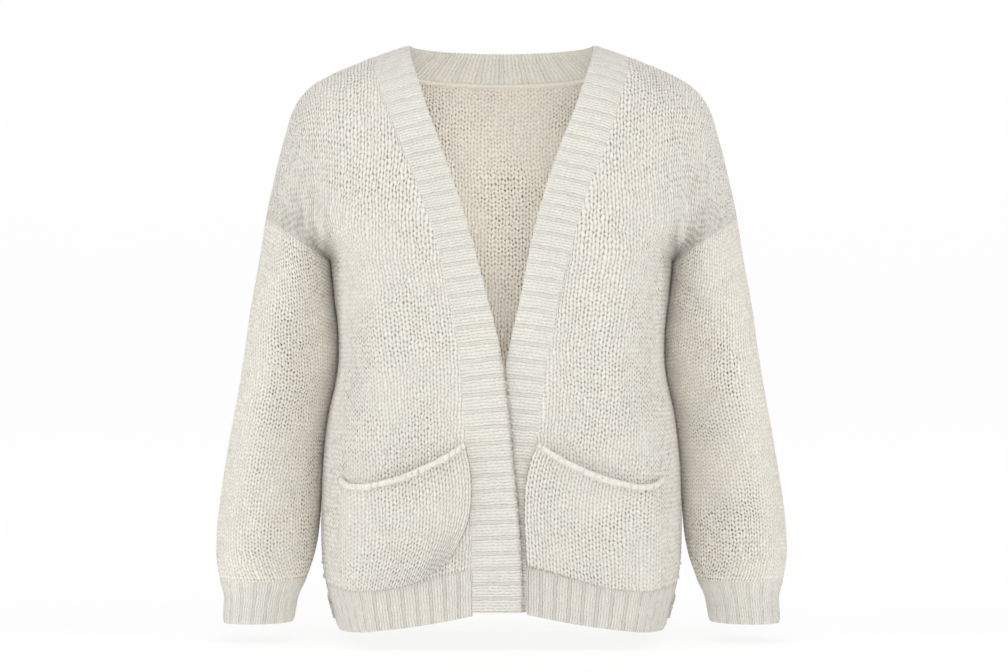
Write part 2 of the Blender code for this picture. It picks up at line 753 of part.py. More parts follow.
def sleeve_object(side, sleeve, collection):
    """Make one sleeve from its sheets."""
    outer, inner = draw_back(*sleeve, ("first_row", "last_row"))
    name = "sleeve_right" if side == RIGHT else "sleeve_left"
    return wall_object(name, outer, inner, collection, "sleeve", closed=True)


def outward(grid):
    """Give a closed tube's normals, pointing away from its middle."""
    normal = normals(grid, closed=True)
    middle = grid.mean(axis=1, keepdims=True)
    away = np.sum(normal * (grid - middle), axis=-1).mean()
    return normal if away > 0 else -normal


def round_edge(edge):
    """Close an edge that runs round a tube by repeating its first point."""
    return [np.concatenate([line, line[:1]]) for line in edge]


def cuff_object(side, sleeve, collection):
    """Make one ribbed cuff, sewn to the sleeve's lowest ring."""
    fractions, heights = rib_fractions(CUFF_RIBS)
    rings = []
    for section in smooth_sections(CUFF, 3):
        whole = ring(section, side, 90)
        rings.append(along(np.concatenate([whole, whole[:1]]), fractions)[:-1])
    base = np.array(rings)[::-1].copy()
    normal = outward(base)
    inner = base - normal * WALL
    seam = along_seam(round_edge((sleeve[0][0], sleeve[1][0])), fractions)
    base[-1] = seam[0][:-1]
    inner[-1] = seam[1][:-1]
    base, inner = draw_back(base, inner, ("last_row",))
    outer = base + normal * heights[:-1, None] * RIB_RELIEF
    name = "cuff_right" if side == RIGHT else "cuff_left"
    return wall_object(name, outer, inner, collection, "rib", closed=True)


# ---------------------------------------------------------------- hem

def hem_grid(places_top, places_bottom, setter, fractions, rows=2):
    """Give a hem's points from its bottom to its top, with columns at the stated fractions."""
    top = setter(places_top)
    bottom = setter(places_bottom)
    for line in (top, bottom):
        line[np.abs(line[:, 0]) > np.abs(line[:, 0]).max() - 0.01 * MM, 1] = 0
    top = along(top, fractions)
    bottom = along(bottom, fractions)
    grid = []
    for k in range(rows + 1):
        t = k / rows
        mixed = bottom * (1 - t) + top * t
        on_form = setter(mixed[:, [0, 2]])
        edge = np.abs(mixed[:, 1]) < 12 * MM
        on_form[edge] = mixed[edge]
        grid.append(on_form)
    return np.array(grid)


def rib_sheets(grid, turn=1):
    """Give a ribbed piece's base and inner points, and the normals along which its ribs rise."""
    normal = edge_normals(grid) * turn
    return grid.copy(), grid - normal * WALL, normal


def ribbed_object(name, base, inner, normal, heights, rims, collection):
    """Make a ribbed wall whose columns follow the ribs, raised towards the outside."""
    base, inner = draw_back(base, inner, rims)
    outer = base + normal * heights[None, :, None] * RIB_RELIEF
    return wall_object(name, outer, inner, collection, "rib")


def front_hem_sheets(side, front):
    """Give the sheets and rib heights of one front's hem, sewn to the front's lowest row."""
    count = 64
    seam = band_line(side, "sewn")
    turn = arc_out(count)
    lines = []
    for key in ("rib_top", "bottom"):
        end = getattr(FRONT_HEM[-1], key) * MM
        start_height = float(column(FRONT_HEM, "across", key, 30 * MM))
        start = np.interp(start_height, seam[:, 1], seam[:, 0])
        finish = side * float(column(TORSO, "height", "half_width", end))
        x = start + (finish - start) * turn
        z = column(FRONT_HEM, "across", key, np.abs(x) * (FRONT_HEM[-1].across * MM / abs(finish)))
        lines.append(np.stack([x, z], axis=1))
    fractions, heights = rib_fractions(FRONT_HEM_RIBS)
    grid = hem_grid(lines[0], lines[1], lambda places: on_front(places, side), fractions)
    if side == RIGHT:
        grid = grid[:, ::-1]
        fractions = 1 - fractions[::-1]
        heights = heights[::-1]
    base, inner, normal = rib_sheets(grid)
    base[-1], inner[-1] = along_seam((front[0][0], front[1][0]), fractions)
    return base, inner, normal, heights


def front_hem_object(side, hem, collection):
    """Make the ribbed hem of one front from its sheets."""
    name = "hem_front_right" if side == RIGHT else "hem_front_left"
    return ribbed_object(name, *hem, ("last_row", "first_column", "last_column"), collection)


def back_hem_object(back, collection):
    """Make the ribbed hem of the back, sewn to the back's lowest row."""
    swing = np.sin(np.linspace(-math.pi / 2, math.pi / 2, 129))
    lines = []
    for height, rise in ((BACK_HEM_TOP, 0.0), (BACK_HEM_BOTTOM, BACK_HEM_RISE)):
        half = float(column(TORSO, "height", "half_width", height))
        lines.append(np.stack([-swing * half, height + rise * (1 - swing ** 2)], axis=1))
    fractions, heights = rib_fractions(BACK_HEM_RIBS)
    base, inner, normal = rib_sheets(hem_grid(lines[0], lines[1], on_back, fractions))
    base[-1], inner[-1] = along_seam((back[0][0], back[1][0]), fractions)
    rims = ("last_row", "first_column", "last_column")
    return ribbed_object("hem_back", base, inner, normal, heights, rims, collection)


# ---------------------------------------------------------------- bands

def front_band_object(side, front, hem, collection):
    """Make one front band, sewn to the front and its hem. Its ribs cross it, its columns follow them."""
    fractions, heights = band_fractions()
    free = band_line(side, "free")
    sewn = band_line(side, "sewn")
    fine = level(200)
    rows = []
    for t in (0.0, 0.5, 1.0):
        places = along(sewn, fine) * (1 - t) + along(free, fine) * t
        places[-1] = on_shoulder(BAND_AT_SHOULDER * (1 - t) + NECK_POINT[0] * t, side)
        points = on_front(places, side)
        points[-1, 1] = 0.0
        rows.append(along(points, fractions))
    base, inner, normal = rib_sheets(np.array(rows), side)
    edge = 0 if side == LEFT else -1
    neighbour = [np.concatenate([hem[k][:, edge], front[k][1:, edge]]) for k in (0, 1)]
    base[0], inner[0] = along_seam(neighbour, fractions)
    name = "band_right" if side == RIGHT else "band_left"
    return ribbed_object(name, base, inner, normal, heights, ("first_row", "last_column"), collection)


def neck_rows(count):
    """Give the back neck band's rows, from its sewn edge to its free edge."""
    seam = smooth_line(NECK_SEAM, 8)
    seam = np.concatenate([seam[::-1], seam[1:] * (-1, 1)])
    sweep = np.sin(np.linspace(math.pi / 2, -math.pi / 2, 161))
    free = np.stack([NECK_POINT[0] * sweep, -NECK_EDGE_DROP * (1 - sweep ** 2)], axis=1)
    rows = []
    for t in level(count):
        places = along(seam, level(161)) * (1 - t) + along(free, level(161)) * t
        end = on_shoulder(BAND_AT_SHOULDER * (1 - t) + NECK_POINT[0] * t)
        places[0] = end
        places[-1] = end * (-1, 1)
        points = on_back(places)
        points[0, 1] = 0.0
        points[-1, 1] = 0.0
        rows.append(points)
    return rows


def neck_seam(back):
    """Give the back's outer and inner points along the neck, for its top row and the row below it."""
    neck = slice(SHOULDER_CELLS, SHOULDER_CELLS + 2 * NECK_CELLS + 1)
    return (back[0][-1, neck], back[1][-1, neck]), (back[0][-2, neck], back[1][-2, neck])


def neck_band_sheets(back):
    """Give the sheets and rib heights of the band round the back neck, sewn to the back's top row."""
    fractions, heights = rib_fractions(NECK_BAND_RIBS)
    base, inner, normal = rib_sheets(np.array([along(row, fractions) for row in neck_rows(3)]))
    base[0], inner[0] = along_seam(neck_seam(back)[0], fractions)
    return base, inner, normal, heights


def neck_band_object(band, collection):
    """Make the band round the back neck from its sheets."""
    return ribbed_object("band_neck", *band, ("first_row", "first_column", "last_column"), collection)


def unit(vectors):
    """Scale vectors to a length of one."""
    return vectors / np.linalg.norm(vectors, axis=-1, keepdims=True)


def neck_tape_object(back, band, collection):
    """Make the tape that covers the back neck seam on the inside, made from the seam's inner points."""
    at_seam, below = neck_seam(back)
    keep = np.linspace(TAPE_ENDS, 1 - TAPE_ENDS, TAPE_CELLS + 1)
    seam_out, seam_in = along_seam(at_seam, keep)
    low = along_seam(below, keep)[1]
    high = along_seam((band[0][1], band[1][1]), keep)[1]
    inward = unit(seam_in - seam_out)
    middle = seam_in + inward * TAPE_CLEARANCE
    face = np.array([middle + unit(low - seam_in) * TAPE_HEIGHT / 2, middle,
                     middle + unit(high - seam_in) * TAPE_HEIGHT / 2])
    return wall_object("neck_tape", face, face + inward * TAPE_THICKNESS, collection, "tape")


# ---------------------------------------------------------------- pockets

def pocket_frame(side, places):
    """Give points on the front at the stated places, with the outward normal at each."""
    step = 1.0 * MM
    point = on_front(places, side)
    run_x = on_front(places + (step, 0), side) - on_front(places - (step, 0), side)
    run_z = on_front(places + (0, step), side) - on_front(places - (0, step), side)
    normal = np.cross(run_x, run_z)
    return point, normal / np.linalg.norm(normal, axis=-1, keepdims=True)


def pocket_places(side, across, up):
    """Give a pocket's places: columns run from its outer end inwards, rows from the hem to the mouth."""
    table = RIGHT_POCKET_SIDE if side == RIGHT else LEFT_POCKET_SIDE
    mouth = along(smooth_line(POCKET_MOUTH), level(across + 1))
    inner = along(smooth_line(table), level(up + 1))
    foot = column(FRONT_HEM, "across", "rib_top", POCKET_OUTER) + POCKET_FOOT
    outer = np.stack([np.full(up + 1, POCKET_OUTER), np.linspace(foot, mouth[0, 1], up + 1)], axis=1)
    x = POCKET_OUTER + (inner[0, 0] - POCKET_OUTER) * level(across + 1)
    hem = column(FRONT_HEM, "across", "rib_top", x) + POCKET_FOOT
    rise = inner[0, 1] - hem[-1]
    z = hem + rise * ease((level(across + 1) - 0.72) / 0.28)
    bottom = np.stack([x, z], axis=1)
    bottom[0] = outer[0]
    inner[0] = bottom[-1]
    places = stretch(bottom, mouth, outer, inner, level(up + 1), level(across + 1))
    return places * (side, 1)


def pocket_object(side, collection):
    """Make one patch pocket, with its mouth rolled outwards and standing off the front."""
    across = POCKET_CELLS_ACROSS
    up = POCKET_CELLS_UP
    point, normal = pocket_frame(side, pocket_places(side, across, up))
    a = level(across + 1)[None, :]
    u = level(up + 1)[:, None]
    bulge = POCKET_BULGE * np.sin(math.pi * a) ** 0.8 * np.sin(math.pi / 2 * np.minimum(u * 1.5, 1.0)) ** 0.9
    over_band = POCKET_OVER_BAND * ease((a - 0.8) / 0.15) * np.ones_like(u)
    height = (POCKET_CLEARANCE + bulge + over_band)[..., None]
    inner = point + normal * height
    outer = inner + normal * WALL

    rise = outer[-1] - outer[-2]
    rise = rise / np.linalg.norm(rise, axis=-1, keepdims=True)
    out = normal[-1] - rise * np.sum(normal[-1] * rise, axis=-1, keepdims=True)
    out = out / np.linalg.norm(out, axis=-1, keepdims=True)
    centre = outer[-1] + out * ROLL_RADIUS
    roll_outer = []
    roll_inner = []
    for k in range(1, ROLL_CELLS + 1):
        angle = math.radians(ROLL_TURN * k / ROLL_CELLS)
        arm = rise * math.sin(angle) - out * math.cos(angle)
        roll_outer.append(centre + arm * ROLL_RADIUS)
        roll_inner.append(centre + arm * (ROLL_RADIUS + WALL))
    outer = np.concatenate([outer, np.array(roll_outer)])
    inner = np.concatenate([inner, np.array(roll_inner)])
    if side == LEFT:
        outer = outer[:, ::-1]
        inner = inner[:, ::-1]
    name = "pocket_right" if side == RIGHT else "pocket_left"
    return wall_object(name, outer, inner, collection, "pocket")


# ---------------------------------------------------------------- build

def clear_scene():
    """Remove whatever objects the scene holds."""
    for item in list(bpy.data.objects):
        bpy.data.objects.remove(item, do_unlink=True)


def build():
    """Build the whole cardigan."""
    clear_scene()
    collection = bpy.data.collections.new("cardigan")
    bpy.context.scene.collection.children.link(collection)
    back_points = back_grid()
    back = sheets(back_points)
    back_object(back_points, collection)
    back_hem_object(back, collection)
    band = neck_band_sheets(back)
    neck_band_object(band, collection)
    neck_tape_object(back, band, collection)
    for side in (RIGHT, LEFT):
        front_points = front_grid(side)
        front = sheets(front_points)
        hem = front_hem_sheets(side, front)
        sleeve = sleeve_sheets(side, front_points, back_points)
        front_object(side, front_points, collection)
        front_hem_object(side, hem, collection)
        front_band_object(side, front, hem, collection)
        sleeve_object(side, sleeve, collection)
        cuff_object(side, sleeve, collection)
        pocket_object(side, collection)


build()
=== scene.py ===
"""Dressed model of an open-front knit cardigan with ribbed bands, two patch pockets and dropped sleeves.

The front faces -Y, +X is the wearer's left and +Z is up. The origin lies between the two neck points.
Each cloth piece is a closed wall of knit, made from a flat grid that is thickened and then laid on the
garment's form. The grid follows the knitting: its columns run with the wales and its rows with the
courses, so that every stitch has its own legs and pits, and the finishes read the same stitch count.
"""

import logging
import math
from dataclasses import dataclass, field
from enum import Enum
from typing import Callable, NamedTuple

import bmesh
import bpy
import numpy as np
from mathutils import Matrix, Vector


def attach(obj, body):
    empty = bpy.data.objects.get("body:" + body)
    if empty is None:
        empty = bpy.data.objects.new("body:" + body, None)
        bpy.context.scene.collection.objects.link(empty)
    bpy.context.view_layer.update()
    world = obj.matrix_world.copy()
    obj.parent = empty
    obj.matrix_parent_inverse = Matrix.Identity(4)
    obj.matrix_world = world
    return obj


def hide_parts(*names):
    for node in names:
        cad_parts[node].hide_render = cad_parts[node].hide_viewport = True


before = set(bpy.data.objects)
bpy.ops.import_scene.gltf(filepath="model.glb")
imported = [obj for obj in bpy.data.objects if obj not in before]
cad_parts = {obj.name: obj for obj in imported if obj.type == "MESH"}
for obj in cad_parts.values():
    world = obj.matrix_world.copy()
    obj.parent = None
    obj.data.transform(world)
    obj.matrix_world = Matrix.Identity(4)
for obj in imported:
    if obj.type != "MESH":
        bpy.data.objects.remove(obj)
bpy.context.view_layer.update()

LOG = logging.getLogger("cardigan")
MM = 0.001
PAINTED_SHADE_MAP = "painted_shade"          # painted shade in the hollow along an edge: how dark it is at each point
STITCH_MAP = "stitches"      # wale and course count, at each corner
WALL = 2.7 * MM
JOIN_ROWS = 8                # rows over which a strip is eased onto its neighbour's edge
BESIDE_HEM = 8               # where the band's edge, as its line is drawn, passes the hem's top
RAISED_OVER = 1.6            # wales over which the stitches rise beside a seam
COOL = (0.955, 0.97, 1.0)    # what a cooler patch of yarn leaves of red, green and blue
DRIFT = 0.45                 # most that a stitch is drawn out of its place, in stitches
RIM_ANGLE = math.radians(70)

# How fine each noise in the yarn is, in waves to the metre
# the first noise makes the painted shade in the pits stronger in some patches than in others
CLEARNESS = 15.0
PATCHES = 24.0
DRIFTS = 150.0
FLECKS = 260.0
# the next noise breaks up the painted shade in the edge hollows
HOLLOW_SHADE_SPOTS = 330.0
FIBRES = 760.0
FUZZ = 800.0

# How much each of these moves the yarn from its dark colour to its light one; the raised share is a painted
# highlight on the raised legs and loops
FIBRE_SHARE = 0.32
RAISED_HIGHLIGHT_SHARE = 0.44
FLECK_SHARE = 0.10
LEG_SHARE = 0.14

# Painted pit shade fades out from the first to the second of these distances out, on an arm that leans, so
# that the arm's outer side is painted lighter, as if lit
ARM_LEAN = 0.145
PIT_SHADE_FADES = (0.190, 0.212)


class Side(Enum):
    """A side of the garment, as its wearer has it."""

    RIGHT = -1
    LEFT = 1

    @property
    def word(self) -> str:
        """Give the side's name as piece names end in it."""
        return self.name.lower()


class Facing(Enum):
    """The front or the back of the form, with the sign of its depth."""

    FRONT = -1
    BACK = 1


# ---------------------------------------------------------------- rows of the size tables, in mm

class TorsoSection(NamedTuple):
    """Half width and depths of the torso at one height."""

    height: float
    half_width: float
    front: float
    back: float


class Place(NamedTuple):
    """A place seen from the front."""

    across: float
    height: float


class BandEdge(NamedTuple):
    """A front band's free and sewn edge at one height."""

    height: float
    free: float
    sewn: float


class HemPoint(NamedTuple):
    """Where the hem's rib starts and ends at one distance from the middle."""

    across: float
    rib_top: float
    bottom: float


HEM_LINE = (
    HemPoint(0, -552, -600.0),
    HemPoint(32, -556, -604.5),
    HemPoint(64, -564, -610.5),
    HemPoint(106, -575.5, -617.0),
    HemPoint(140, -580.5, -621.0),
    HemPoint(170, -581, -625.0),
    HemPoint(194, -579, -628.0),
)


class SleeveSection(NamedTuple):
    """Inner and outer side of a sleeve, its half depth, how far forward it hangs and how it is turned."""

    inner_across: float
    inner_height: float
    outer_across: float
    outer_height: float
    depth: float
    forward: float
    turn: float


class RibWidth(NamedTuple):
    """Width of a band's ribs at one share of its length."""

    share: float
    width: float


# ---------------------------------------------------------------- curves and grids

def column(table: tuple, key: str, value: str, at: np.ndarray) -> np.ndarray:
    """Read a table's column at any place, as a smooth curve through its rows.

    Args:
        table: Rows of sizes in mm.
        key: The field that is looked up.
        value: The field that is read.
        at: Where to read it, in metres.

    Returns:
        The values in metres.
    """
    knots = np.array([getattr(row, key) for row in table], float) * MM
    values = np.array([getattr(row, value) for row in table], float) * MM
    if knots[0] > knots[-1]:
        knots, values = knots[::-1], values[::-1]
    at = np.clip(np.asarray(at, float), knots[0], knots[-1])
    slopes = np.gradient(values, knots)
    k = np.clip(np.searchsorted(knots, at) - 1, 0, len(knots) - 2)
    width = knots[k + 1] - knots[k]
    t = (at - knots[k]) / width
    return hermite(values[k], values[k + 1], slopes[k] * width, slopes[k + 1] * width, t)


def hermite(start: np.ndarray, end: np.ndarray, leave: np.ndarray, arrive: np.ndarray,
            t: np.ndarray) -> np.ndarray:
    """Blend from start to end with the stated slopes at both."""
    first = (2 * t ** 3 - 3 * t ** 2 + 1) * start + (t ** 3 - 2 * t ** 2 + t) * leave
    return first + (3 * t ** 2 - 2 * t ** 3) * end + (t ** 3 - t ** 2) * arrive


def smooth_line(table: tuple, steps: int = 24) -> np.ndarray:
    """Draw a smooth curve through a table's places.

    Args:
        table: Rows with across and height, in mm.
        steps: Points between two rows.

    Returns:
        Points of x and z in metres.
    """
    points = np.array([(row.across, row.height) for row in table], float) * MM
    lengths = run_lengths(points)
    slopes = np.gradient(points, lengths, axis=0)
    t = np.linspace(0, 1, steps, endpoint=False)[:, None]
    pieces = []
    for k in range(len(points) - 1):
        width = lengths[k + 1] - lengths[k]
        pieces.append(hermite(points[k], points[k + 1], slopes[k] * width, slopes[k + 1] * width, t))
    return np.concatenate(pieces + [points[-1:]])


def run_lengths(line: np.ndarray) -> np.ndarray:
    """Give the length run so far at each point of a line."""
    return np.concatenate([[0], np.cumsum(np.linalg.norm(np.diff(line, axis=0), axis=1))])


def along(line: np.ndarray, fractions: np.ndarray) -> np.ndarray:
    """Give the points at the stated fractions of a line's length."""
    lengths = run_lengths(line)
    at = np.asarray(fractions, float) * lengths[-1]
    return np.stack([np.interp(at, lengths, line[:, k]) for k in range(line.shape[1])], axis=1)


def ease(t: np.ndarray) -> np.ndarray:
    """Rise smoothly from 0 to 1."""
    t = np.clip(t, 0, 1)
    return t * t * (3 - 2 * t)


def rounded(q: np.ndarray) -> np.ndarray:
    """Give the height of a quarter circle that starts at an edge and is level from 1 on."""
    return np.sqrt(1 - (1 - np.clip(q, 0, 1)) ** 2)


def level(count: int) -> np.ndarray:
    """Give even fractions from 0 to 1."""
    return np.linspace(0, 1, count)


def arc_out(count: int) -> np.ndarray:
    """Give fractions from 0 to 1 that close up towards 1, as the form turns away at an edge."""
    return np.sin(np.linspace(0, math.pi / 2, count))


def unit(vectors: np.ndarray) -> np.ndarray:
    """Scale vectors to a length of one."""
    return vectors / np.maximum(np.linalg.norm(vectors, axis=-1, keepdims=True), 1e-12)


def distance(x: np.ndarray, z: np.ndarray, line: np.ndarray) -> np.ndarray:
    """Give the distance of each place (x, z) from a line of points."""
    best = np.full(np.shape(x), 1.0)
    for start, end in zip(line[:-1], line[1:]):
        run = end - start
        t = np.clip(((x - start[0]) * run[0] + (z - start[1]) * run[1]) / (run @ run), 0, 1)
        best = np.minimum(best, np.hypot(x - start[0] - t * run[0], z - start[1] - t * run[1]))
    return best


def stretch(bottom: np.ndarray, top: np.ndarray, start: np.ndarray, end: np.ndarray,
            up: np.ndarray, across: np.ndarray) -> np.ndarray:
    """Fill the grid between four edges.

    Args:
        bottom: The lower edge, from start to end.
        top: The upper edge, from start to end.
        start: The edge where the rows start, from bottom to top.
        end: The edge where the rows end, from bottom to top.
        up: How far up each row is.
        across: How far across each column is.

    Returns:
        The grid's places, by row and column.
    """
    b = up[:, None, None]
    a = across[None, :, None]
    between = (1 - b) * bottom[None] + b * top[None]
    return between + (1 - a) * (start[:, None] - between[:, :1]) + a * (end[:, None] - between[:, -1:])


def even_rows(grid: np.ndarray, rows: int) -> np.ndarray:
    """Space a grid's rows evenly along each of its columns."""
    return np.stack([along(grid[:, k], level(rows)) for k in range(grid.shape[1])], axis=1)


def even_columns(grid: np.ndarray, fractions: np.ndarray) -> np.ndarray:
    """Place a grid's columns at the stated fractions along each of its rows."""
    return np.stack([along(row, fractions) for row in grid])


def normals(grid: np.ndarray, closed: bool = False) -> np.ndarray:
    """Give each point's unit normal, outwards where columns run across and rows run up."""
    if closed:
        across = np.roll(grid, -1, axis=1) - np.roll(grid, 1, axis=1)
    else:
        across = np.gradient(grid, axis=1)
    return unit(np.cross(across, np.gradient(grid, axis=0)))


def edge_normals(grid: np.ndarray) -> np.ndarray:
    """Give a grid's normals, kept level where front and back meet."""
    normal = normals(grid)
    normal[np.abs(grid[..., 1]) < 0.02 * MM, 1] = 0
    return unit(normal)


def outward(grid: np.ndarray) -> np.ndarray:
    """Give a closed tube's normals, pointing away from its middle."""
    normal = normals(grid, closed=True)
    away = np.sum(normal * (grid - grid.mean(axis=1, keepdims=True)), axis=-1).mean()
    return normal if away > 0 else -normal


def smooth_noise(shape: tuple[int, int], cell: tuple[float, float], seed: int) -> np.ndarray:
    """Make a smooth random field over a grid.

    Args:
        shape: Rows and columns of the grid.
        cell: Rows and columns between two independent values.
        seed: What the values are drawn from.

    Returns:
        Values of about -1 to 1.
    """
    draw = np.random.default_rng(seed)
    counts = [max(2, int(n / c) + 2) for n, c in zip(shape, cell)]
    values = draw.uniform(-1, 1, counts)
    for axis in (0, 1):
        at = np.linspace(0, counts[axis] - 1.001, shape[axis])
        low = at.astype(int)
        share = ease(at - low)
        share = share[:, None] if axis == 0 else share[None, :]
        values = np.take(values, low, axis) * (1 - share) + np.take(values, low + 1, axis) * share
    return values


def sample(grid: np.ndarray, rows: np.ndarray, columns: np.ndarray) -> np.ndarray:
    """Read a grid of vectors at places between its rows and columns."""
    r = np.clip(rows, 0, grid.shape[0] - 1)
    c = np.clip(columns, 0, grid.shape[1] - 1)
    r0 = np.minimum(r.astype(int), grid.shape[0] - 2)
    c0 = np.minimum(c.astype(int), grid.shape[1] - 2)
    fr = (r - r0)[..., None]
    fc = (c - c0)[..., None]
    low = grid[r0, c0] * (1 - fc) + grid[r0, c0 + 1] * fc
    high = grid[r0 + 1, c0] * (1 - fc) + grid[r0 + 1, c0 + 1] * fc
    return low * (1 - fr) + high * fr


# ---------------------------------------------------------------- the garment's form

@dataclass(frozen=True)
class Crease:
    """A soft trough in the cloth with a low ridge beside it, seen from the front, in mm."""

    start: tuple[float, float]
    end: tuple[float, float]
    depth: float
    width: float
    ridge: float = 0.4

    def at(self, x: np.ndarray, z: np.ndarray) -> np.ndarray:
        """Give how far the cloth stands out (or, below zero, in) at places (x, z), in metres."""
        start = np.array(self.start) * MM
        run = np.array(self.end) * MM - start
        length = float(np.hypot(*run))
        run = run / length
        ahead = (x - start[0]) * run[0] + (z - start[1]) * run[1]
        beside = (x - start[0]) * run[1] - (z - start[1]) * run[0]
        bow = 0.08 * length * np.sin(math.pi * np.clip(ahead / length, 0, 1))
        beside = beside - bow
        width = self.width * MM
        past = np.maximum(np.maximum(-ahead, ahead - length), 0)
        fade = np.exp(-(past / (1.6 * width)) ** 2)
        fade = fade * (0.45 + 0.55 * np.sin(math.pi * np.clip(ahead / length, 0.12, 0.88)) ** 2)
        trough = np.exp(-(beside / width) ** 2)
        ridge = self.ridge * np.exp(-((beside - 2.0 * width) / (1.2 * width)) ** 2)
        return self.depth * MM * fade * (ridge - trough)


@dataclass
class Form:
    """The shape that the cloth lies on: an outline, and a depth that grows with distance from it."""

    torso: tuple = (
        TorsoSection(-632, 175.0, 113, 104),
        TorsoSection(-617, 178.5, 114, 105),
        TorsoSection(-600, 182.5, 116, 107),
        TorsoSection(-580, 189.0, 121, 110),
        TorsoSection(-560, 192.4, 125, 112),
        TorsoSection(-530, 194.0, 127.5, 112.5),
        TorsoSection(-490, 193.8, 128.5, 111),
        TorsoSection(-440, 191.4, 128, 108.5),
        TorsoSection(-398, 186.2, 127.5, 106.5),
        TorsoSection(-350, 176.2, 126, 106.5),
        TorsoSection(-315, 175.4, 125, 108),
        TorsoSection(-275, 179.5, 123, 111),
        TorsoSection(-234, 184.0, 121, 114.5),
        TorsoSection(-180, 184.0, 118.5, 118),
        TorsoSection(-100, 184.0, 117, 119),
        TorsoSection(40, 184.0, 115, 115),
    )
    shoulder: tuple = (
        Place(98.8, 0),
        Place(122, -7.6),
        Place(155, -20.5),
        Place(187, -34.5),
        Place(205, -45.5),
        Place(218, -59.4),
        Place(226, -75),
        Place(233, -98.3),
        Place(240, -124),
        Place(246, -150),
        Place(254, -187),
        Place(260, -228),
        Place(269, -280),
    )
    torso_rounding: float = 110 * MM
    side_rounding: float = 52 * MM
    arm_rounding: float = 75 * MM
    arm_depth: float = 89 * MM
    arm_from: float = 110 * MM
    arm_over: float = 125 * MM
    underarm: tuple[float, float] = (184.0 * MM, -234.0 * MM)
    armhole_top: tuple[float, float] = (254.0 * MM, -187.0 * MM)
    neck_across: float = 98.8 * MM
    neck_rise: float = 23 * MM
    band_at_shoulder: float = 136.6 * MM
    overlap_lift: float = 6.2 * MM
    lift_from: tuple[float, float] = (-150 * MM, -270 * MM)
    lift_over: tuple[float, float] = (115 * MM, 70 * MM)
    front_creases: tuple = (
        Crease((-193, -142), (-190, -208), 8.0, 6, -0.5),
        Crease((-179, -165), (-180, -250), -3.5, 6, 0.0),
        Crease((-178, -240), (-112, -176), 2.4, 11),
        Crease((-176, -262), (-120, -292), 2.6, 10),
        Crease((-168, -300), (-138, -392), 2.2, 12),
        Crease((-96, -250), (-78, -400), 1.5, 16),
        Crease((-150, -70), (-120, -150), 1.6, 16),
        Crease((-120, -505), (-92, -560), 1.8, 10),
        Crease((190, -208), (193, -144), 8.0, 6, -0.5),
        Crease((180, -250), (179, -170), -3.5, 6, 0.0),
        Crease((179, -242), (108, -184), 2.2, 12),
        Crease((175, -268), (124, -300), 2.4, 10),
        Crease((166, -310), (132, -408), 2.4, 12),
        Crease((92, -262), (84, -390), 1.4, 15),
        Crease((152, -66), (118, -158), 1.7, 15),
        Crease((150, -515), (128, -560), 2.2, 9),
    )
    back_creases: tuple = (
        Crease((-176, -244), (-104, -196), 3.6, 12),
        Crease((-172, -268), (-96, -306), 2.8, 12),
        Crease((-160, -330), (-104, -440), 2.4, 14),
        Crease((-60, -380), (-34, -540), 2.6, 13),
        Crease((174, -248), (98, -190), 3.4, 12),
        Crease((170, -276), (104, -322), 2.6, 11),
        Crease((156, -350), (96, -470), 2.6, 14),
        Crease((52, -400), (30, -560), 2.4, 12),
        Crease((-150, -60), (-112, -150), 2.0, 14),
        Crease((148, -58), (108, -156), 2.0, 14),
    )
    outline: np.ndarray = field(init=False, repr=False)
    sides: np.ndarray = field(init=False, repr=False)

    def __post_init__(self) -> None:
        """Draw the outline over the shoulders and the side of the body."""
        x = np.linspace(0, self.neck_across, 20, endpoint=False)
        rise = self.neck_rise * (1 - (x / self.neck_across) ** 2)
        self.outline = np.concatenate([np.stack([x, rise], axis=1), self.shoulder_line()])
        heights = np.linspace(-640 * MM, self.underarm[1], 34)
        self.sides = np.stack([self.half_width(heights), heights], axis=1)

    def shoulder_line(self) -> np.ndarray:
        """Give the outline from the neck point over the shoulder to the upper sleeve."""
        return smooth_line(self.shoulder, 10)

    def half_width(self, heights: np.ndarray) -> np.ndarray:
        """Give the torso's half width at the stated heights."""
        return column(self.torso, "height", "half_width", heights)

    def on_shoulder(self, across: float, side: Side = Side.LEFT) -> np.ndarray:
        """Give the place on the shoulder outline at a distance across."""
        return np.array([side.value * across, np.interp(across, self.outline[:, 0], self.outline[:, 1])])

    def depth(self, x: np.ndarray, z: np.ndarray, facing: Facing) -> np.ndarray:
        """Give how far the form lies in front of or behind the plane through its outline.

        Args:
            x: Distances across.
            z: Heights.
            facing: Which half of the form is meant.

        Returns:
            Depths in metres, never below zero.
        """
        across = np.abs(np.asarray(x, float))
        z = np.asarray(z, float)
        arm = ease((across - self.arm_from) / self.arm_over)
        depth = column(self.torso, "height", facing.name.lower(), z) * (1 - arm) + self.arm_depth * arm
        rounding = self.torso_rounding * (1 - arm) + self.arm_rounding * arm
        to_outer = distance(across, z, self.outline)
        to_side = distance(across, z, self.sides)
        creases = self.front_creases if facing is Facing.FRONT else self.back_creases
        fold = sum(crease.at(x, z) for crease in creases)
        near = rounded(to_outer / (60 * MM)) * rounded(to_side / (30 * MM))
        return depth * rounded(to_outer / rounding) * rounded(to_side / self.side_rounding) + fold * near

    def lift(self, x: np.ndarray, z: np.ndarray) -> np.ndarray:
        """Give how far the right front stands out where its band lies over the left one."""
        down = ease((self.lift_from[1] - np.asarray(z)) / self.lift_over[1])
        across = ease((np.asarray(x) - self.lift_from[0]) / self.lift_over[0])
        return self.overlap_lift * down * across

    def on_front(self, places: np.ndarray, side: Side) -> np.ndarray:
        """Set places (x, z) on the front of the form."""
        x, z = places[..., 0], places[..., 1]
        y = -self.depth(x, z, Facing.FRONT)
        if side is Side.RIGHT:
            y = y - self.lift(x, z)
        return np.stack([x, y, z], axis=-1)

    def on_back(self, places: np.ndarray) -> np.ndarray:
        """Set places (x, z) on the back of the form."""
        x, z = places[..., 0], places[..., 1]
        return np.stack([x, self.depth(x, z, Facing.BACK), z], axis=-1)

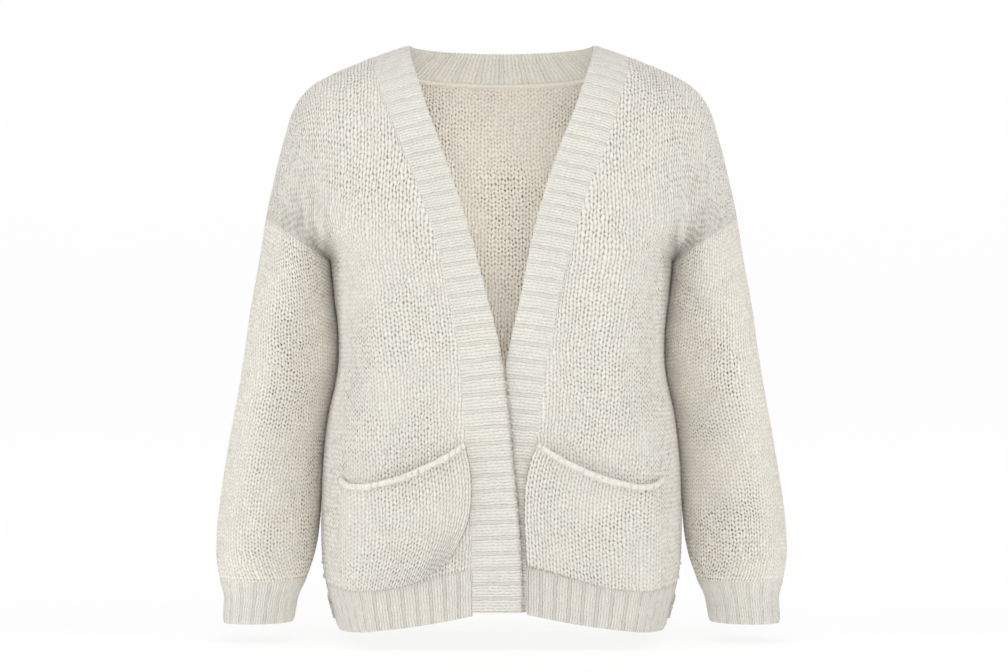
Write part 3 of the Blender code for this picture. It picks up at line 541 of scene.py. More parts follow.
    def armhole(self, count: int) -> np.ndarray:
        """Give places along the armhole from the underarm to its top."""
        t = ((1 - np.cos(np.linspace(0, math.pi, count))) / 2)[:, None]
        return np.array(self.underarm) * (1 - t) + np.array(self.armhole_top) * t

    def shoulder_seam(self, count: int) -> np.ndarray:
        """Give places along the shoulder from the band to the armhole's top."""
        line = self.shoulder_line()
        start = self.on_shoulder(self.band_at_shoulder)
        keep = (line[:, 0] > start[0] + 1 * MM) & (line[:, 1] > self.armhole_top[1] + 1 * MM)
        return along(np.concatenate([[start], line[keep], [self.armhole_top]]), level(count))


# ---------------------------------------------------------------- the knitting

@dataclass(frozen=True)
class Knit:
    """How a cloth is knitted, and how finely its grid follows the stitches."""

    wale: float = 6.9 * MM
    course: float = 4.8 * MM
    columns: int = 4
    rows: int = 2
    leg: float = 1.1 * MM
    loop: float = 0.75 * MM
    wander: float = 0.35

    @property
    def step(self) -> float:
        """Give the width of one grid column."""
        return self.wale / self.columns

    def relief(self, u: np.ndarray, v: np.ndarray) -> np.ndarray:
        """Give the height of the stitches at a wale count and a course count, about a mean of zero."""
        r = np.abs(np.mod(u, 1.0) - 0.5) * 2
        legs = np.sin(math.pi * r) - 0.64
        loops = np.cos(2 * math.pi * (v - 0.5 * r))
        return self.leg * legs * 0.5 + self.loop * loops * 0.5


@dataclass
class Wall:
    """Outer and inner points of a cloth piece, with the stitch count at each."""

    outer: np.ndarray
    inner: np.ndarray
    wales: np.ndarray
    courses: np.ndarray
    closed: bool = False
    painted_shade: np.ndarray | None = None

    def paint_rim_shade(self, rim: str, amount: np.ndarray | float) -> None:
        """Note how dark the painted shade in the hollow along an edge is, from 0 to 1."""
        if self.painted_shade is None:
            self.painted_shade = np.zeros(self.outer.shape[:2])
        at = 0 if rim.startswith("first") else -1
        where = (at,) if rim.endswith("row") else (slice(None), at)
        self.painted_shade[where] = np.maximum(self.painted_shade[where], amount)

    def raise_by(self, outside: np.ndarray, inside: np.ndarray) -> None:
        """Raise both sheets away from each other by a height at each point."""
        apart = unit(self.outer - self.inner)
        self.outer = self.outer + apart * outside[..., None]
        self.inner = self.inner - apart * inside[..., None]

    def round_rim(self, rim: str, share: float = 0.34) -> None:
        """Round a free edge by drawing the sheets together at it.

        Args:
            rim: first_row, last_row, first_column or last_column.
            share: What is left of the thickness at the very edge.
        """
        for step, keep in ((0, share), (1, 0.5 + share / 2)):
            at = step if rim.startswith("first") else -1 - step
            where = (at,) if rim.endswith("row") else (slice(None), at)
            middle = (self.outer[where] + self.inner[where]) / 2
            self.outer[where] = middle + (self.outer[where] - middle) * keep
            self.inner[where] = middle + (self.inner[where] - middle) * keep

    def make(self, name: str) -> bpy.types.Object:
        """Thicken a flat grid into a wall and lay it on the piece's points.

        Args:
            name: The piece's name.

        Returns:
            The finished piece, a closed shell with its stitch map.
        """
        rows, columns = self.outer.shape[:2]
        bm = bmesh.new()
        bmesh.ops.create_grid(bm, x_segments=columns - 1, y_segments=rows - 1, size=1.0)
        bmesh.ops.solidify(bm, geom=bm.faces[:], thickness=0.5)
        if self.closed:
            bm.normal_update()
            ends = [face for face in bm.faces if abs(face.normal.x) > 0.5]
            bmesh.ops.delete(bm, geom=ends, context="FACES_ONLY")
        mesh = bpy.data.meshes.new(name)
        bm.to_mesh(mesh)
        bm.free()
        self.lay(mesh)
        self.close(mesh)
        piece = bpy.data.objects.new(name, mesh)
        bpy.context.scene.collection.objects.link(piece)
        return piece

    def lay(self, mesh: bpy.types.Mesh) -> None:
        """Move a flat thick grid's points onto the wall and write the stitch map."""
        rows, columns = self.outer.shape[:2]
        flat = np.empty(len(mesh.vertices) * 3)
        mesh.vertices.foreach_get("co", flat)
        flat = flat.reshape(-1, 3)
        c = np.rint((flat[:, 0] + 1) / 2 * (columns - 1)).astype(int)
        r = np.rint((flat[:, 1] + 1) / 2 * (rows - 1)).astype(int)
        inside = (flat[:, 2] < -0.25)[:, None]
        placed = np.where(inside, self.inner[r, c], self.outer[r, c])
        mesh.vertices.foreach_set("co", placed.ravel())
        corners = np.empty(len(mesh.loops), int)
        mesh.loops.foreach_get("vertex_index", corners)
        pattern = np.stack([self.wales[r, c], self.courses[r, c]], axis=1)[corners]
        layer = mesh.uv_layers.new(name=STITCH_MAP)
        layer.data.foreach_set("uv", pattern.ravel())
        # painted shade for the hollows along edges, which the material reads
        if self.painted_shade is not None:
            painted_shades = mesh.attributes.new(PAINTED_SHADE_MAP, "FLOAT", "POINT")
            painted_shades.data.foreach_set("value", self.painted_shade[r, c])

    @staticmethod
    def close(mesh: bpy.types.Mesh) -> None:
        """Merge points that fell together, and turn all faces outwards."""
        bm = bmesh.new()
        bm.from_mesh(mesh)
        bmesh.ops.remove_doubles(bm, verts=bm.verts[:], dist=1e-6)
        bmesh.ops.recalc_face_normals(bm, faces=bm.faces[:])
        bm.to_mesh(mesh)
        bm.free()
        mesh.polygons.foreach_set("use_smooth", np.ones(len(mesh.polygons), bool))
        mesh.set_sharp_from_angle(angle=RIM_ANGLE)
        mesh.update()


@dataclass
class Panel:
    """A smooth piece of cloth, ready to be knitted: points, normals and distances along its rows."""

    points: np.ndarray
    normal: np.ndarray
    across: np.ndarray
    knit: Knit
    seed: int

    def knit_up(self, closed: bool = False) -> Wall:
        """Knit the panel with straight wales that end where they meet a seam.

        Args:
            closed: Whether the panel is a tube.

        Returns:
            The wall, with its stitches raised on both sheets.
        """
        knit = self.knit
        low = math.floor(self.across[:, 0].min() / knit.wale) * knit.columns
        high = math.ceil(self.across[:, -1].max() / knit.wale) * knit.columns
        reach = np.arange(low, high + 1) * knit.step
        points = self.at(reach, self.points)
        normal = self.at(reach, self.normal)
        rows = len(points)
        row = np.arange(rows)[:, None] * np.ones_like(reach)[None, :]
        place = np.arange(len(reach))[None, :] * np.ones((rows, 1))
        room = np.minimum(reach[None] - self.across[:, :1], self.across[:, -1:] - reach[None])
        inside = ease(room / (0.8 * knit.wale))
        raised = ease(room / (RAISED_OVER * knit.wale))
        from_end = np.minimum(row, rows - 1 - row)
        wales = reach[None] / knit.wale * np.ones((rows, 1))
        courses = row / knit.rows
        r = np.abs(np.mod(wales, 1.0) - 0.5) * 2
        shape = row.shape
        close = smooth_noise(shape, (2 * knit.rows, 2 * knit.columns), self.seed)
        broad = smooth_noise(shape, (14 * knit.rows, 9 * knit.columns), self.seed + 1)
        lean = smooth_noise(shape, (3 * knit.rows, 3 * knit.columns), self.seed + 2)
        sideways = (0.35 * close + broad) * knit.wander * knit.columns
        upwards = 0.5 * knit.rows * r + lean * 0.3 * knit.rows
        at_row = row + upwards * inside * ease(from_end / 4.0)
        at_place = place + sideways * inside
        points = sample(points, at_row, at_place)
        normal = unit(sample(normal, at_row, at_place))
        wall = Wall(points, points - normal * WALL, wales, courses + 0.5 * r, closed)
        uneven = 1 + 0.4 * smooth_noise(shape, (knit.rows, knit.columns), self.seed + 3)
        spacing = np.linalg.norm(np.gradient(points, axis=0), axis=-1) * knit.rows / knit.course
        packed = np.clip(spacing, 0.3, 1.0)
        height = knit.relief(wales, courses + 0.5 * r) * raised * ease(from_end / 2.0) * uneven * packed ** 2
        wall.raise_by(height, height)
        return wall

    def at(self, reach: np.ndarray, values: np.ndarray) -> np.ndarray:
        """Read vectors along every row at the stated distances."""
        rows = []
        for across, line in zip(self.across, values):
            rows.append(np.stack([np.interp(reach, across, line[:, k]) for k in range(3)], axis=1))
        return np.array(rows)


def measured(grid: np.ndarray, middle: float = 0.0) -> np.ndarray:
    """Give the distance along each row of a grid, less that share of the row's length."""
    across = np.array([run_lengths(row) for row in grid])
    return across - middle * across[:, -1:]


@dataclass(frozen=True)
class RibShape:
    """Section of one rib, as heights at shares of its width, and where its wales lie."""

    steps: tuple = (0.0, 0.06, 0.10, 0.14, 0.19, 0.31, 0.5, 0.69, 0.81, 0.86, 0.90, 0.94)
    heights: tuple = (0.60, 0.40, 0.0, 0.60, 0.86, 1.0, 0.90, 1.0, 0.86, 0.60, 0.0, 0.40)
    wale_places: tuple = (0.0, 0.10, 0.5, 0.90, 1.0)
    wale_counts: tuple = (0.5, 1.0, 2.0, 3.0, 3.5)
    relief: float = 0.7 * MM

    def fractions(self, ribs: int) -> tuple[np.ndarray, np.ndarray, np.ndarray]:
        """Give where the points of a row of ribs lie, how high each is and its wale count."""
        steps = np.array(self.steps)
        at = np.append((np.arange(ribs)[:, None] + steps).ravel(), ribs)
        heights = np.append(np.tile(self.heights, ribs), self.heights[0])
        wales = np.floor(at) * 3 + np.interp(at - np.floor(at), self.wale_places, self.wale_counts)
        return at / ribs, heights, wales


# ---------------------------------------------------------------- finishes

@dataclass
class Bench:
    """A shader under construction."""

    tree: bpy.types.NodeTree

    def add(self, kind: str, **settings: object) -> bpy.types.Node:
        """Add a node of a kind with the stated settings."""
        node = self.tree.nodes.new(kind)
        for name, value in settings.items():
            setattr(node, name, value)
        return node

    def put(self, socket: bpy.types.NodeSocket, value: object) -> None:
        """Link a socket to another, or write a plain value on it."""
        if isinstance(value, bpy.types.NodeSocket):
            self.tree.links.new(value, socket)
        else:
            socket.default_value = value

    def sum(self, operation: str, *values: object) -> bpy.types.NodeSocket:
        """Work out one operation on numbers or sockets."""
        node = self.add("ShaderNodeMath", operation=operation)
        for socket, value in zip(node.inputs, values):
            self.put(socket, value)
        return node.outputs[0]

    def noise(self, place: bpy.types.NodeSocket, scale: float, detail: float = 2.0) -> bpy.types.NodeSocket:
        """Give a noise value of 0 to 1 at a place."""
        node = self.add("ShaderNodeTexNoise")
        self.put(node.inputs["Vector"], place)
        node.inputs["Scale"].default_value = scale
        node.inputs["Detail"].default_value = detail
        return node.outputs["Fac"]

    def shift(self, value: bpy.types.NodeSocket, low: float, high: float, to_low: float,
              to_high: float) -> bpy.types.NodeSocket:
        """Map a value from one range to another, held at its ends."""
        node = self.add("ShaderNodeMapRange")
        for name, number in (("From Min", low), ("From Max", high), ("To Min", to_low), ("To Max", to_high)):
            node.inputs[name].default_value = number
        self.put(node.inputs["Value"], value)
        return node.outputs["Result"]

    def mix(self, share: object, first: object, second: object, way: str = "MIX") -> bpy.types.NodeSocket:
        """Mix two colours."""
        node = self.add("ShaderNodeMix", data_type="RGBA", blend_type=way)
        self.put(node.inputs["Factor"], share)
        self.put(node.inputs[6], first)
        self.put(node.inputs[7], second)
        return node.outputs[2]


@dataclass(frozen=True)
class YarnFinish:
    """Cream melange yarn, knitted: its colours, with painted shade and highlights on its stitches, and how
    strongly stitches and fibres stand out.
    """

    name: str
    light: tuple[float, float, float]
    dark: tuple[float, float, float]
    # colour and strength of the painted shade in the pits between stitches, the colour also used in the ribs'
    # furrows
    pit_and_furrow_shade: tuple[float, float, float]
    pit_shade_strength: float = 0.85
    stitch_bump: float = 1.0
    fibre_bump: float = 0.7
    sheen: float = 0.25
    furrow_shade: float = 0.0
    loop_share: float = 0.5
    # colour of the painted shade in the hollows along edges
    painted_hollow_shade: tuple[float, float, float] = (0.20, 0.155, 0.10)
    pit_shade_fades_outwards: bool = False

    def make(self) -> bpy.types.Material:
        """Build the material.

        Returns:
            A material that reads the piece's stitch map and Object coordinates.
        """
        material = bpy.data.materials.new(self.name)
        material.use_nodes = True
        bench = Bench(material.node_tree)
        shader = material.node_tree.nodes["Principled BSDF"]
        shader.inputs["Roughness"].default_value = 0.92
        shader.inputs["Specular IOR Level"].default_value = 0.18
        shader.inputs["Sheen Weight"].default_value = self.sheen
        shader.inputs["Sheen Roughness"].default_value = 0.45
        shader.inputs["Sheen Tint"].default_value = (1.0, 0.98, 0.94, 1.0)
        place = bench.add("ShaderNodeTexCoord").outputs["Object"]
        stitches = self.drifted(bench, place)
        parts = bench.add("ShaderNodeSeparateXYZ")
        bench.put(parts.inputs[0], stitches)
        legs, loops = self.stitch(bench, parts.outputs["X"], parts.outputs["Y"])
        colour = self.colour(bench, place, stitches, legs, loops)
        # painted shade in the furrows between ribs
        if self.furrow_shade:
            colour = self.with_furrow_shade(bench, parts.outputs["X"], colour)
        colour = self.with_painted_shade(bench, place, colour)
        bench.put(shader.inputs["Base Color"], colour)
        bench.put(shader.inputs["Normal"], self.bump(bench, place, legs, loops))
        return material

    @staticmethod
    def drifted(bench: Bench, place: bpy.types.NodeSocket) -> bpy.types.NodeSocket:
        """Give the piece's stitch count with each stitch drawn a little out of its place."""
        drift = bench.add("ShaderNodeTexNoise")
        bench.put(drift.inputs["Vector"], place)
        drift.inputs["Scale"].default_value = DRIFTS
        drift.inputs["Detail"].default_value = 1.0
        shift = bench.add("ShaderNodeVectorMath", operation="MULTIPLY_ADD")
        bench.put(shift.inputs[0], drift.outputs["Color"])
        shift.inputs[1].default_value = (DRIFT, 1.6 * DRIFT, 0.0)
        shift.inputs[2].default_value = (-0.5 * DRIFT, -0.8 * DRIFT, 0.0)
        moved = bench.add("ShaderNodeVectorMath", operation="ADD")
        bench.put(moved.inputs[0], bench.add("ShaderNodeUVMap", uv_map=STITCH_MAP).outputs["UV"])
        bench.put(moved.inputs[1], shift.outputs[0])
        return moved.outputs[0]

    @staticmethod
    def stitch(bench: Bench, wales: bpy.types.NodeSocket,
               courses: bpy.types.NodeSocket) -> tuple[bpy.types.NodeSocket, bpy.types.NodeSocket]:
        """Give how high the legs and the loops stand at a stitch count, each from 0 to 1."""
        share = bench.sum("FRACT", wales)
        r = bench.sum("MULTIPLY", bench.sum("ABSOLUTE", bench.sum("SUBTRACT", share, 0.5)), 2.0)
        legs = bench.sum("SINE", bench.sum("MULTIPLY", r, math.pi))
        lean = bench.sum("SUBTRACT", courses, bench.sum("MULTIPLY", r, 0.5))
        wave = bench.sum("COSINE", bench.sum("MULTIPLY", lean, 2 * math.pi))
        return legs, bench.shift(wave, -1.0, 1.0, 0.0, 1.0)

    def colour(self, bench: Bench, place: bpy.types.NodeSocket, stitches: bpy.types.NodeSocket,
               legs: bpy.types.NodeSocket, loops: bpy.types.NodeSocket) -> bpy.types.NodeSocket:
        """Mix the yarn's colour from fibres, stitches and broad patches, with painted shade in the pits and a
        painted highlight on the raised legs and loops.
        """
        broad = bench.shift(bench.noise(place, PATCHES, 2.0), 0.38, 0.62, 0.0, 1.0)
        fibres = bench.shift(bench.noise(place, FIBRES, 3.0), 0.32, 0.68, 0.0, 1.0)
        flecks = bench.shift(bench.noise(place, FLECKS, 2.0), 0.35, 0.65, 0.0, 1.0)
        raised = bench.sum("MULTIPLY_ADD", legs, 1.0 - self.loop_share,
                           bench.sum("MULTIPLY", loops, self.loop_share))
        share = bench.sum("MULTIPLY", self.leg_tone(bench, stitches), LEG_SHARE)
        share = bench.sum("MULTIPLY_ADD", flecks, FLECK_SHARE, share)
        # painted highlight: raised legs and loops are lighter
        share = bench.sum("MULTIPLY_ADD", bench.shift(raised, 0.15, 0.85, 0.0, 1.0), RAISED_HIGHLIGHT_SHARE, share)
        share = bench.sum("MULTIPLY_ADD", fibres, FIBRE_SHARE, share)
        yarn = bench.mix(share, (*self.dark, 1.0), (*self.light, 1.0))
        cooler = bench.mix(1.0, yarn, (*COOL, 1.0), "MULTIPLY")
        yarn = bench.mix(bench.sum("MULTIPLY", broad, 0.5), yarn, cooler)
        clear = bench.shift(bench.noise(place, CLEARNESS, 1.0), 0.38, 0.60, 0.22, 1.0)
        # painted light: less painted pit shade towards the arm's outer side
        if self.pit_shade_fades_outwards:
            clear = bench.sum("MULTIPLY", clear, self.pit_shade_across_arm(bench, place))
        # painted shade in the pits between stitches, stronger or weaker from stitch to stitch and patch to
        # patch
        depth = bench.shift(bench.noise(stitches, 0.9, 2.0), 0.36, 0.62, 0.12, 1.0)
        painted_hollow_shade = bench.sum("MULTIPLY", bench.shift(raised, 0.20, 0.52, self.pit_shade_strength, 0.0),
                           bench.sum("MULTIPLY", depth, clear))
        return bench.mix(painted_hollow_shade, yarn, (*self.pit_and_furrow_shade, 1.0))

    @staticmethod
    def pit_shade_across_arm(bench: Bench, place: bpy.types.NodeSocket) -> bpy.types.NodeSocket:
        """Give how much painted pit shade is left across the arm: it fades out towards the arm's outer side,
        which is painted lighter, as if lit.
        """
        parts = bench.add("ShaderNodeSeparateXYZ")
        bench.put(parts.inputs[0], place)
        across = bench.sum("ABSOLUTE", parts.outputs["X"])
        outwards = bench.sum("MULTIPLY_ADD", parts.outputs["Z"], ARM_LEAN, across)
        return bench.shift(outwards, *PIT_SHADE_FADES, 1.0, 0.1)

    @staticmethod
    def leg_tone(bench: Bench, stitches: bpy.types.NodeSocket) -> bpy.types.NodeSocket:
        """Give each leg of each stitch a tone of its own, from 0 to 1."""
        twice = bench.add("ShaderNodeVectorMath", operation="MULTIPLY")
        bench.put(twice.inputs[0], stitches)
        twice.inputs[1].default_value = (2.0, 1.0, 1.0)
        whole = bench.add("ShaderNodeVectorMath", operation="FLOOR")
        bench.put(whole.inputs[0], twice.outputs[0])
        tone = bench.add("ShaderNodeTexWhiteNoise", noise_dimensions="2D")
        bench.put(tone.inputs["Vector"], whole.outputs[0])
        return tone.outputs["Value"]

    def with_furrow_shade(self, bench: Bench, wales: bpy.types.NodeSocket,
                 colour: bpy.types.NodeSocket) -> bpy.types.NodeSocket:
        """Paint shade into the two lines of each furrow between ribs, which have three wales from one to the
        next.
        """
        third = bench.sum("DIVIDE", wales, 3.0)
        first = bench.sum("PINGPONG", third, 0.5)
        second = bench.sum("PINGPONG", bench.sum("SUBTRACT", third, 1 / 3), 0.5)
        near = bench.sum("MINIMUM", first, second)
        return bench.mix(bench.shift(near, 0.015, 0.075, self.furrow_shade, 0.0), colour, (*self.pit_and_furrow_shade, 1.0))

    def with_painted_shade(self, bench: Bench, place: bpy.types.NodeSocket,
               colour: bpy.types.NodeSocket) -> bpy.types.NodeSocket:
        """Paint shade into the hollows along the edges that the piece's shade map notes, unevenly."""
        painted_shade = bench.add("ShaderNodeAttribute", attribute_name=PAINTED_SHADE_MAP).outputs["Fac"]
        uneven = bench.shift(bench.noise(place, HOLLOW_SHADE_SPOTS, 1.0), 0.36, 0.62, 0.25, 1.0)
        return bench.mix(bench.sum("MULTIPLY", painted_shade, uneven), colour, (*self.painted_hollow_shade, 1.0))

    def bump(self, bench: Bench, place: bpy.types.NodeSocket, legs: bpy.types.NodeSocket,
             loops: bpy.types.NodeSocket) -> bpy.types.NodeSocket:
        """Raise legs, loops and loose fibres."""
        round_legs = bench.sum("POWER", legs, 0.6)
        strand = bench.sum("MULTIPLY_ADD", loops, self.loop_share, 1.0 - self.loop_share)
        strand = bench.sum("POWER", bench.sum("MULTIPLY", round_legs, strand), 0.8)
        coarse = bench.add("ShaderNodeBump")
        coarse.inputs["Strength"].default_value = self.stitch_bump
        coarse.inputs["Distance"].default_value = 1.3 * MM
        bench.put(coarse.inputs["Height"], strand)
        fine = bench.add("ShaderNodeBump")
        fine.inputs["Strength"].default_value = self.fibre_bump
        fine.inputs["Distance"].default_value = 0.5 * MM
        bench.put(fine.inputs["Height"], bench.noise(place, FUZZ, 3.0))
        bench.put(fine.inputs["Normal"], coarse.outputs["Normal"])
        return fine.outputs["Normal"]


@dataclass(frozen=True)
class PlainFinish:
    """A matt even surface for the studio."""

    name: str
    colour: tuple[float, float, float]
    glow: tuple[float, float] = (0.0, 0.0)

    def make(self) -> bpy.types.Material:
        """Build the material, which gives light of its own, more of it further back."""
        material = bpy.data.materials.new(self.name)
        material.use_nodes = True
        shader = material.node_tree.nodes["Principled BSDF"]
        shader.inputs["Base Color"].default_value = (*self.colour, 1.0)
        shader.inputs["Roughness"].default_value = 0.95
        shader.inputs["Specular IOR Level"].default_value = 0.1
        shader.inputs["Emission Color"].default_value = (1.0, 1.0, 1.0, 1.0)
        bench = Bench(material.node_tree)
        parts = bench.add("ShaderNodeSeparateXYZ")
        bench.put(parts.inputs[0], bench.add("ShaderNodeTexCoord").outputs["Object"])
        bench.put(shader.inputs["Emission Strength"], bench.shift(parts.outputs["Y"], 0.2, 3.0, *self.glow))
        return material


@dataclass
class Wardrobe:
    """All the yarn finishes of the cardigan: copies of one cream yarn, painted lighter on the back and
    sleeves and darker on the ribs and hems, to stand in for the light each part gets.
    """

    body: YarnFinish = YarnFinish(
        "body_yarn", (0.91, 0.885, 0.81), (0.62, 0.585, 0.51), (0.16, 0.14, 0.10), pit_shade_strength=0.72)
    # back and sleeve yarns painted lighter than the body's, to stand in for light
    back: YarnFinish = YarnFinish(
        "back_yarn", (0.95, 0.90, 0.81), (0.62, 0.56, 0.47), (0.14, 0.11, 0.07), pit_shade_strength=0.95)
    sleeve: YarnFinish = YarnFinish(
        "sleeve_yarn", (0.98, 0.945, 0.86), (0.64, 0.595, 0.51), (0.12, 0.10, 0.06), pit_shade_strength=1.0, pit_shade_fades_outwards=True)
    # rib and hem yarns painted darker, to offset the light they get
    rib: YarnFinish = YarnFinish(
        "rib_yarn", (0.84, 0.82, 0.76), (0.58, 0.555, 0.485), (0.28, 0.25, 0.18),
        pit_shade_strength=0.28, stitch_bump=0.55, furrow_shade=0.16, loop_share=0.25)
    hem: YarnFinish = YarnFinish(
        "hem_yarn", (0.80, 0.775, 0.715), (0.56, 0.53, 0.46), (0.26, 0.23, 0.17),
        pit_shade_strength=0.28, stitch_bump=0.6, furrow_shade=0.26, loop_share=0.2)
    tape: YarnFinish = YarnFinish(
        "tape_yarn", (0.84, 0.79, 0.71), (0.68, 0.63, 0.55), (0.45, 0.40, 0.32),
        pit_shade_strength=0.25, stitch_bump=0.35)
    made: dict = field(default_factory=dict)

    def give(self, finish: YarnFinish) -> bpy.types.Material:
        """Give a finish's material, made once."""
        if finish.name not in self.made:
            self.made[finish.name] = finish.make()
        return self.made[finish.name]


# ---------------------------------------------------------------- cloth pieces

@dataclass
class Cloth:
    """What every piece of the garment needs to be finished."""

    form: Form
    wardrobe: Wardrobe

    def finish(self, piece: bpy.types.Object, finish: YarnFinish, slot: str, flat: tuple[float, float],
               held: str = "hung", rests_on: tuple = (), area: float | None = None) -> bpy.types.Object:
        """Args:
            piece: The made piece, whose name without its ending is that of the solid it stands for.
            finish: The yarn.
            slot: The name of a material slot; not used.
            flat: Width and length of the cut, in metres; not used.
            held: How the cloth is held; not used.
            rests_on: What carries it; not used.
            area: The cut's flat area, where it isn't a rectangle; not used.

        Returns:
            The piece.
        """
        piece.data.materials.append(self.wardrobe.give(finish))
        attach(piece, "root")
        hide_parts(piece.name.removesuffix("_knit"))
        faces = sum(len(face.vertices) - 2 for face in piece.data.polygons)
        LOG.info("%s: %d triangles", piece.name, faces)
        return piece


@dataclass
class FrontBody(Cloth):
    """The two fronts with their hems and bands, made one side at a time."""

    knit: Knit = Knit(wale=6.6 * MM)
    chest_stretch: float = 1.14
    low_courses: int = 68
    high_courses: int = 47
    fine: int = 161
    hem_ribs: int = 16
    band_ribs: int = 42
    hem_courses: int = 11
    band_courses: int = 9
    # painted shadow of the right band's edge: how dark it is, how wide it falls on the left band, how wide a
    # rim of the right band it darkens, and the height from which it starts and the drop over which it grows
    painted_shade: float = 0.75
    painted_shade_width: float = 2.6 * MM
    painted_shade_edge: float = 4 * MM
    painted_shade_from: float = -300 * MM
    painted_shade_over: float = 50 * MM
    ribs: RibShape = RibShape()
    right_band: tuple = (
        BandEdge(-45, -87.3, -129.8),
        BandEdge(-75, -77.6, -119.4),
        BandEdge(-120, -61.6, -101.6),
        BandEdge(-165, -45.7, -84.2),
        BandEdge(-214, -30.6, -68.2),
        BandEdge(-270, -15.8, -55.8),
        BandEdge(-330, -0.6, -44.6),
        BandEdge(-390, 7.6, -39.2),
        BandEdge(-450, 13.0, -35.2),
        BandEdge(-510, 18.6, -31.4),
        BandEdge(-560, 21.4, -29.6),
        BandEdge(-601, 22.4, -29.5),
    )
    left_band: tuple = (
        BandEdge(-45, 87.3, 129.0),
        BandEdge(-75, 77.0, 121.4),
        BandEdge(-120, 59.4, 106.4),
        BandEdge(-165, 44.4, 88.6),
        BandEdge(-214, 31.6, 74.4),
        BandEdge(-270, 20.4, 60.6),
        BandEdge(-330, 7.4, 48.6),
        BandEdge(-390, -3.0, 40.4),
        BandEdge(-450, -10.0, 33.6),
        BandEdge(-510, -16.6, 27.6),
        BandEdge(-560, -20.6, 26.0),
        BandEdge(-601, -22.6, 26.4),
    )
    rib_widths: tuple = (
        RibWidth(0.00, 15.6),
        RibWidth(0.25, 16.2),
        RibWidth(0.40, 17.8),
        RibWidth(0.52, 16.4),
        RibWidth(0.62, 14.4),
        RibWidth(0.78, 15.2),
        RibWidth(1.00, 16.6),
    )
    hem: tuple = HEM_LINE

    def band_line(self, side: Side, edge: str) -> np.ndarray:
        """Give a band's free or sewn edge as places, from the hem's bottom up to the shoulder."""
        table = self.right_band if side is Side.RIGHT else self.left_band
        heights = np.linspace(table[-1].height * MM, table[0].height * MM, 90)
        across = column(table, "height", edge, heights)
        rest = np.linspace(0, 1, 9)[1:, None]
        last = np.array([across[-1], heights[-1]])
        end = self.form.on_shoulder(
            self.form.neck_across if edge == "free" else self.form.band_at_shoulder, side)
        bow = np.array([side.value * 2.2 * MM, 2.5 * MM]) * np.sin(rest * math.pi)
        low = np.stack([across, heights], axis=1)
        return np.concatenate([low, last * (1 - rest) + end * rest + bow])

    @staticmethod
    def part_of_line(line: np.ndarray, low: float, high: float, spacing: np.ndarray) -> np.ndarray:
        """Give places on a rising line between two heights, spaced by the stated fractions."""
        heights = line[:, 1]
        keep = (heights > low) & (heights < high)
        ends = [(np.interp(h, heights, line[:, 0]), h) for h in (low, high)]
        return along(np.concatenate([ends[:1], line[keep], ends[1:]]), spacing)

    def hem_height(self, key: str, across: np.ndarray) -> np.ndarray:
        """Give the height of the hem's rib top or bottom at a distance from the middle."""
        return column(self.hem, "across", key, np.abs(across))

    def front_points(self, side: Side) -> np.ndarray:
        """Give a front's points. Columns run from the band to the side, rows from hem to shoulder."""
        form = self.form
        count = 96
        sign = side.value
        seam = self.band_line(side, "sewn")
        hem_at_band = float(self.hem_height("rib_top", seam[BESIDE_HEM, 0]))
        turn = arc_out(count)
        heights = np.linspace(self.hem[-1].rib_top * MM, form.underarm[1], count)
        edge = np.stack([sign * form.half_width(heights), heights], axis=1)
        edge[-1] = (sign * form.underarm[0], form.underarm[1])
        low_seam = self.part_of_line(seam, hem_at_band, form.underarm[1], level(count))
        hem_x = low_seam[0, 0] + (edge[0, 0] - low_seam[0, 0]) * turn
        hem = np.stack([hem_x, self.hem_height("rib_top", hem_x)], axis=1)
        chest = low_seam[-1] * (1 - turn[:, None]) + edge[-1] * turn[:, None]
        low = form.on_front(stretch(hem, chest, low_seam, edge, level(count), turn), side)
        high_seam = self.part_of_line(seam, form.underarm[1], seam[-1, 1], arc_out(count))
        shoulder = form.shoulder_seam(count) * (sign, 1)
        armhole = form.armhole(count) * (sign, 1)
        high = form.on_front(stretch(chest, shoulder, high_seam, armhole, arc_out(count), turn), side)
        low[:, -1, 1] = 0
        high[0, -1, 1] = 0
        high[-1, :, 1] = 0
        low = even_columns(even_rows(low, self.low_courses * self.knit.rows + 1), level(self.fine))
        high = even_columns(even_rows(high, self.high_courses * self.knit.rows + 1), level(self.fine))
        return np.concatenate([low, high[1:]])

    def front_sheets(self, side: Side) -> tuple[np.ndarray, np.ndarray]:
        """Give a front's points and normals, with columns from the band to the side."""
        points = self.front_points(side)
        normal = edge_normals(points)
        return points, normal if side is Side.LEFT else -normal

    def front(self, side: Side, points: np.ndarray, normal: np.ndarray) -> bpy.types.Object:
        """Knit one front."""
        across = measured(points)
        seam = np.abs(points[:, 0, 0])
        low = self.low_courses * self.knit.rows
        across = across + np.where(np.arange(len(points)) > low, seam, np.interp(
            np.arange(len(points)), [0, low], [seam[0], seam[low]]))[:, None]
        wide = np.interp(np.arange(len(points)), [0, 0.35 * low, low], [1.0, 1.03, self.chest_stretch])
        panel = Panel(points, normal, across / wide[:, None], self.knit, 11 if side is Side.LEFT else 23)
        wall = panel.knit_up()
        # painted shade along the hollow of the seam above the hem
        wall.paint_rim_shade("first_row", 0.45)
        piece = wall.make(f"front_{side.word}_knit")
        return self.finish(piece, self.wardrobe.body, "body_knit", (0.30, 0.62), rests_on=(
            "band_" + side.word,), area=0.155)

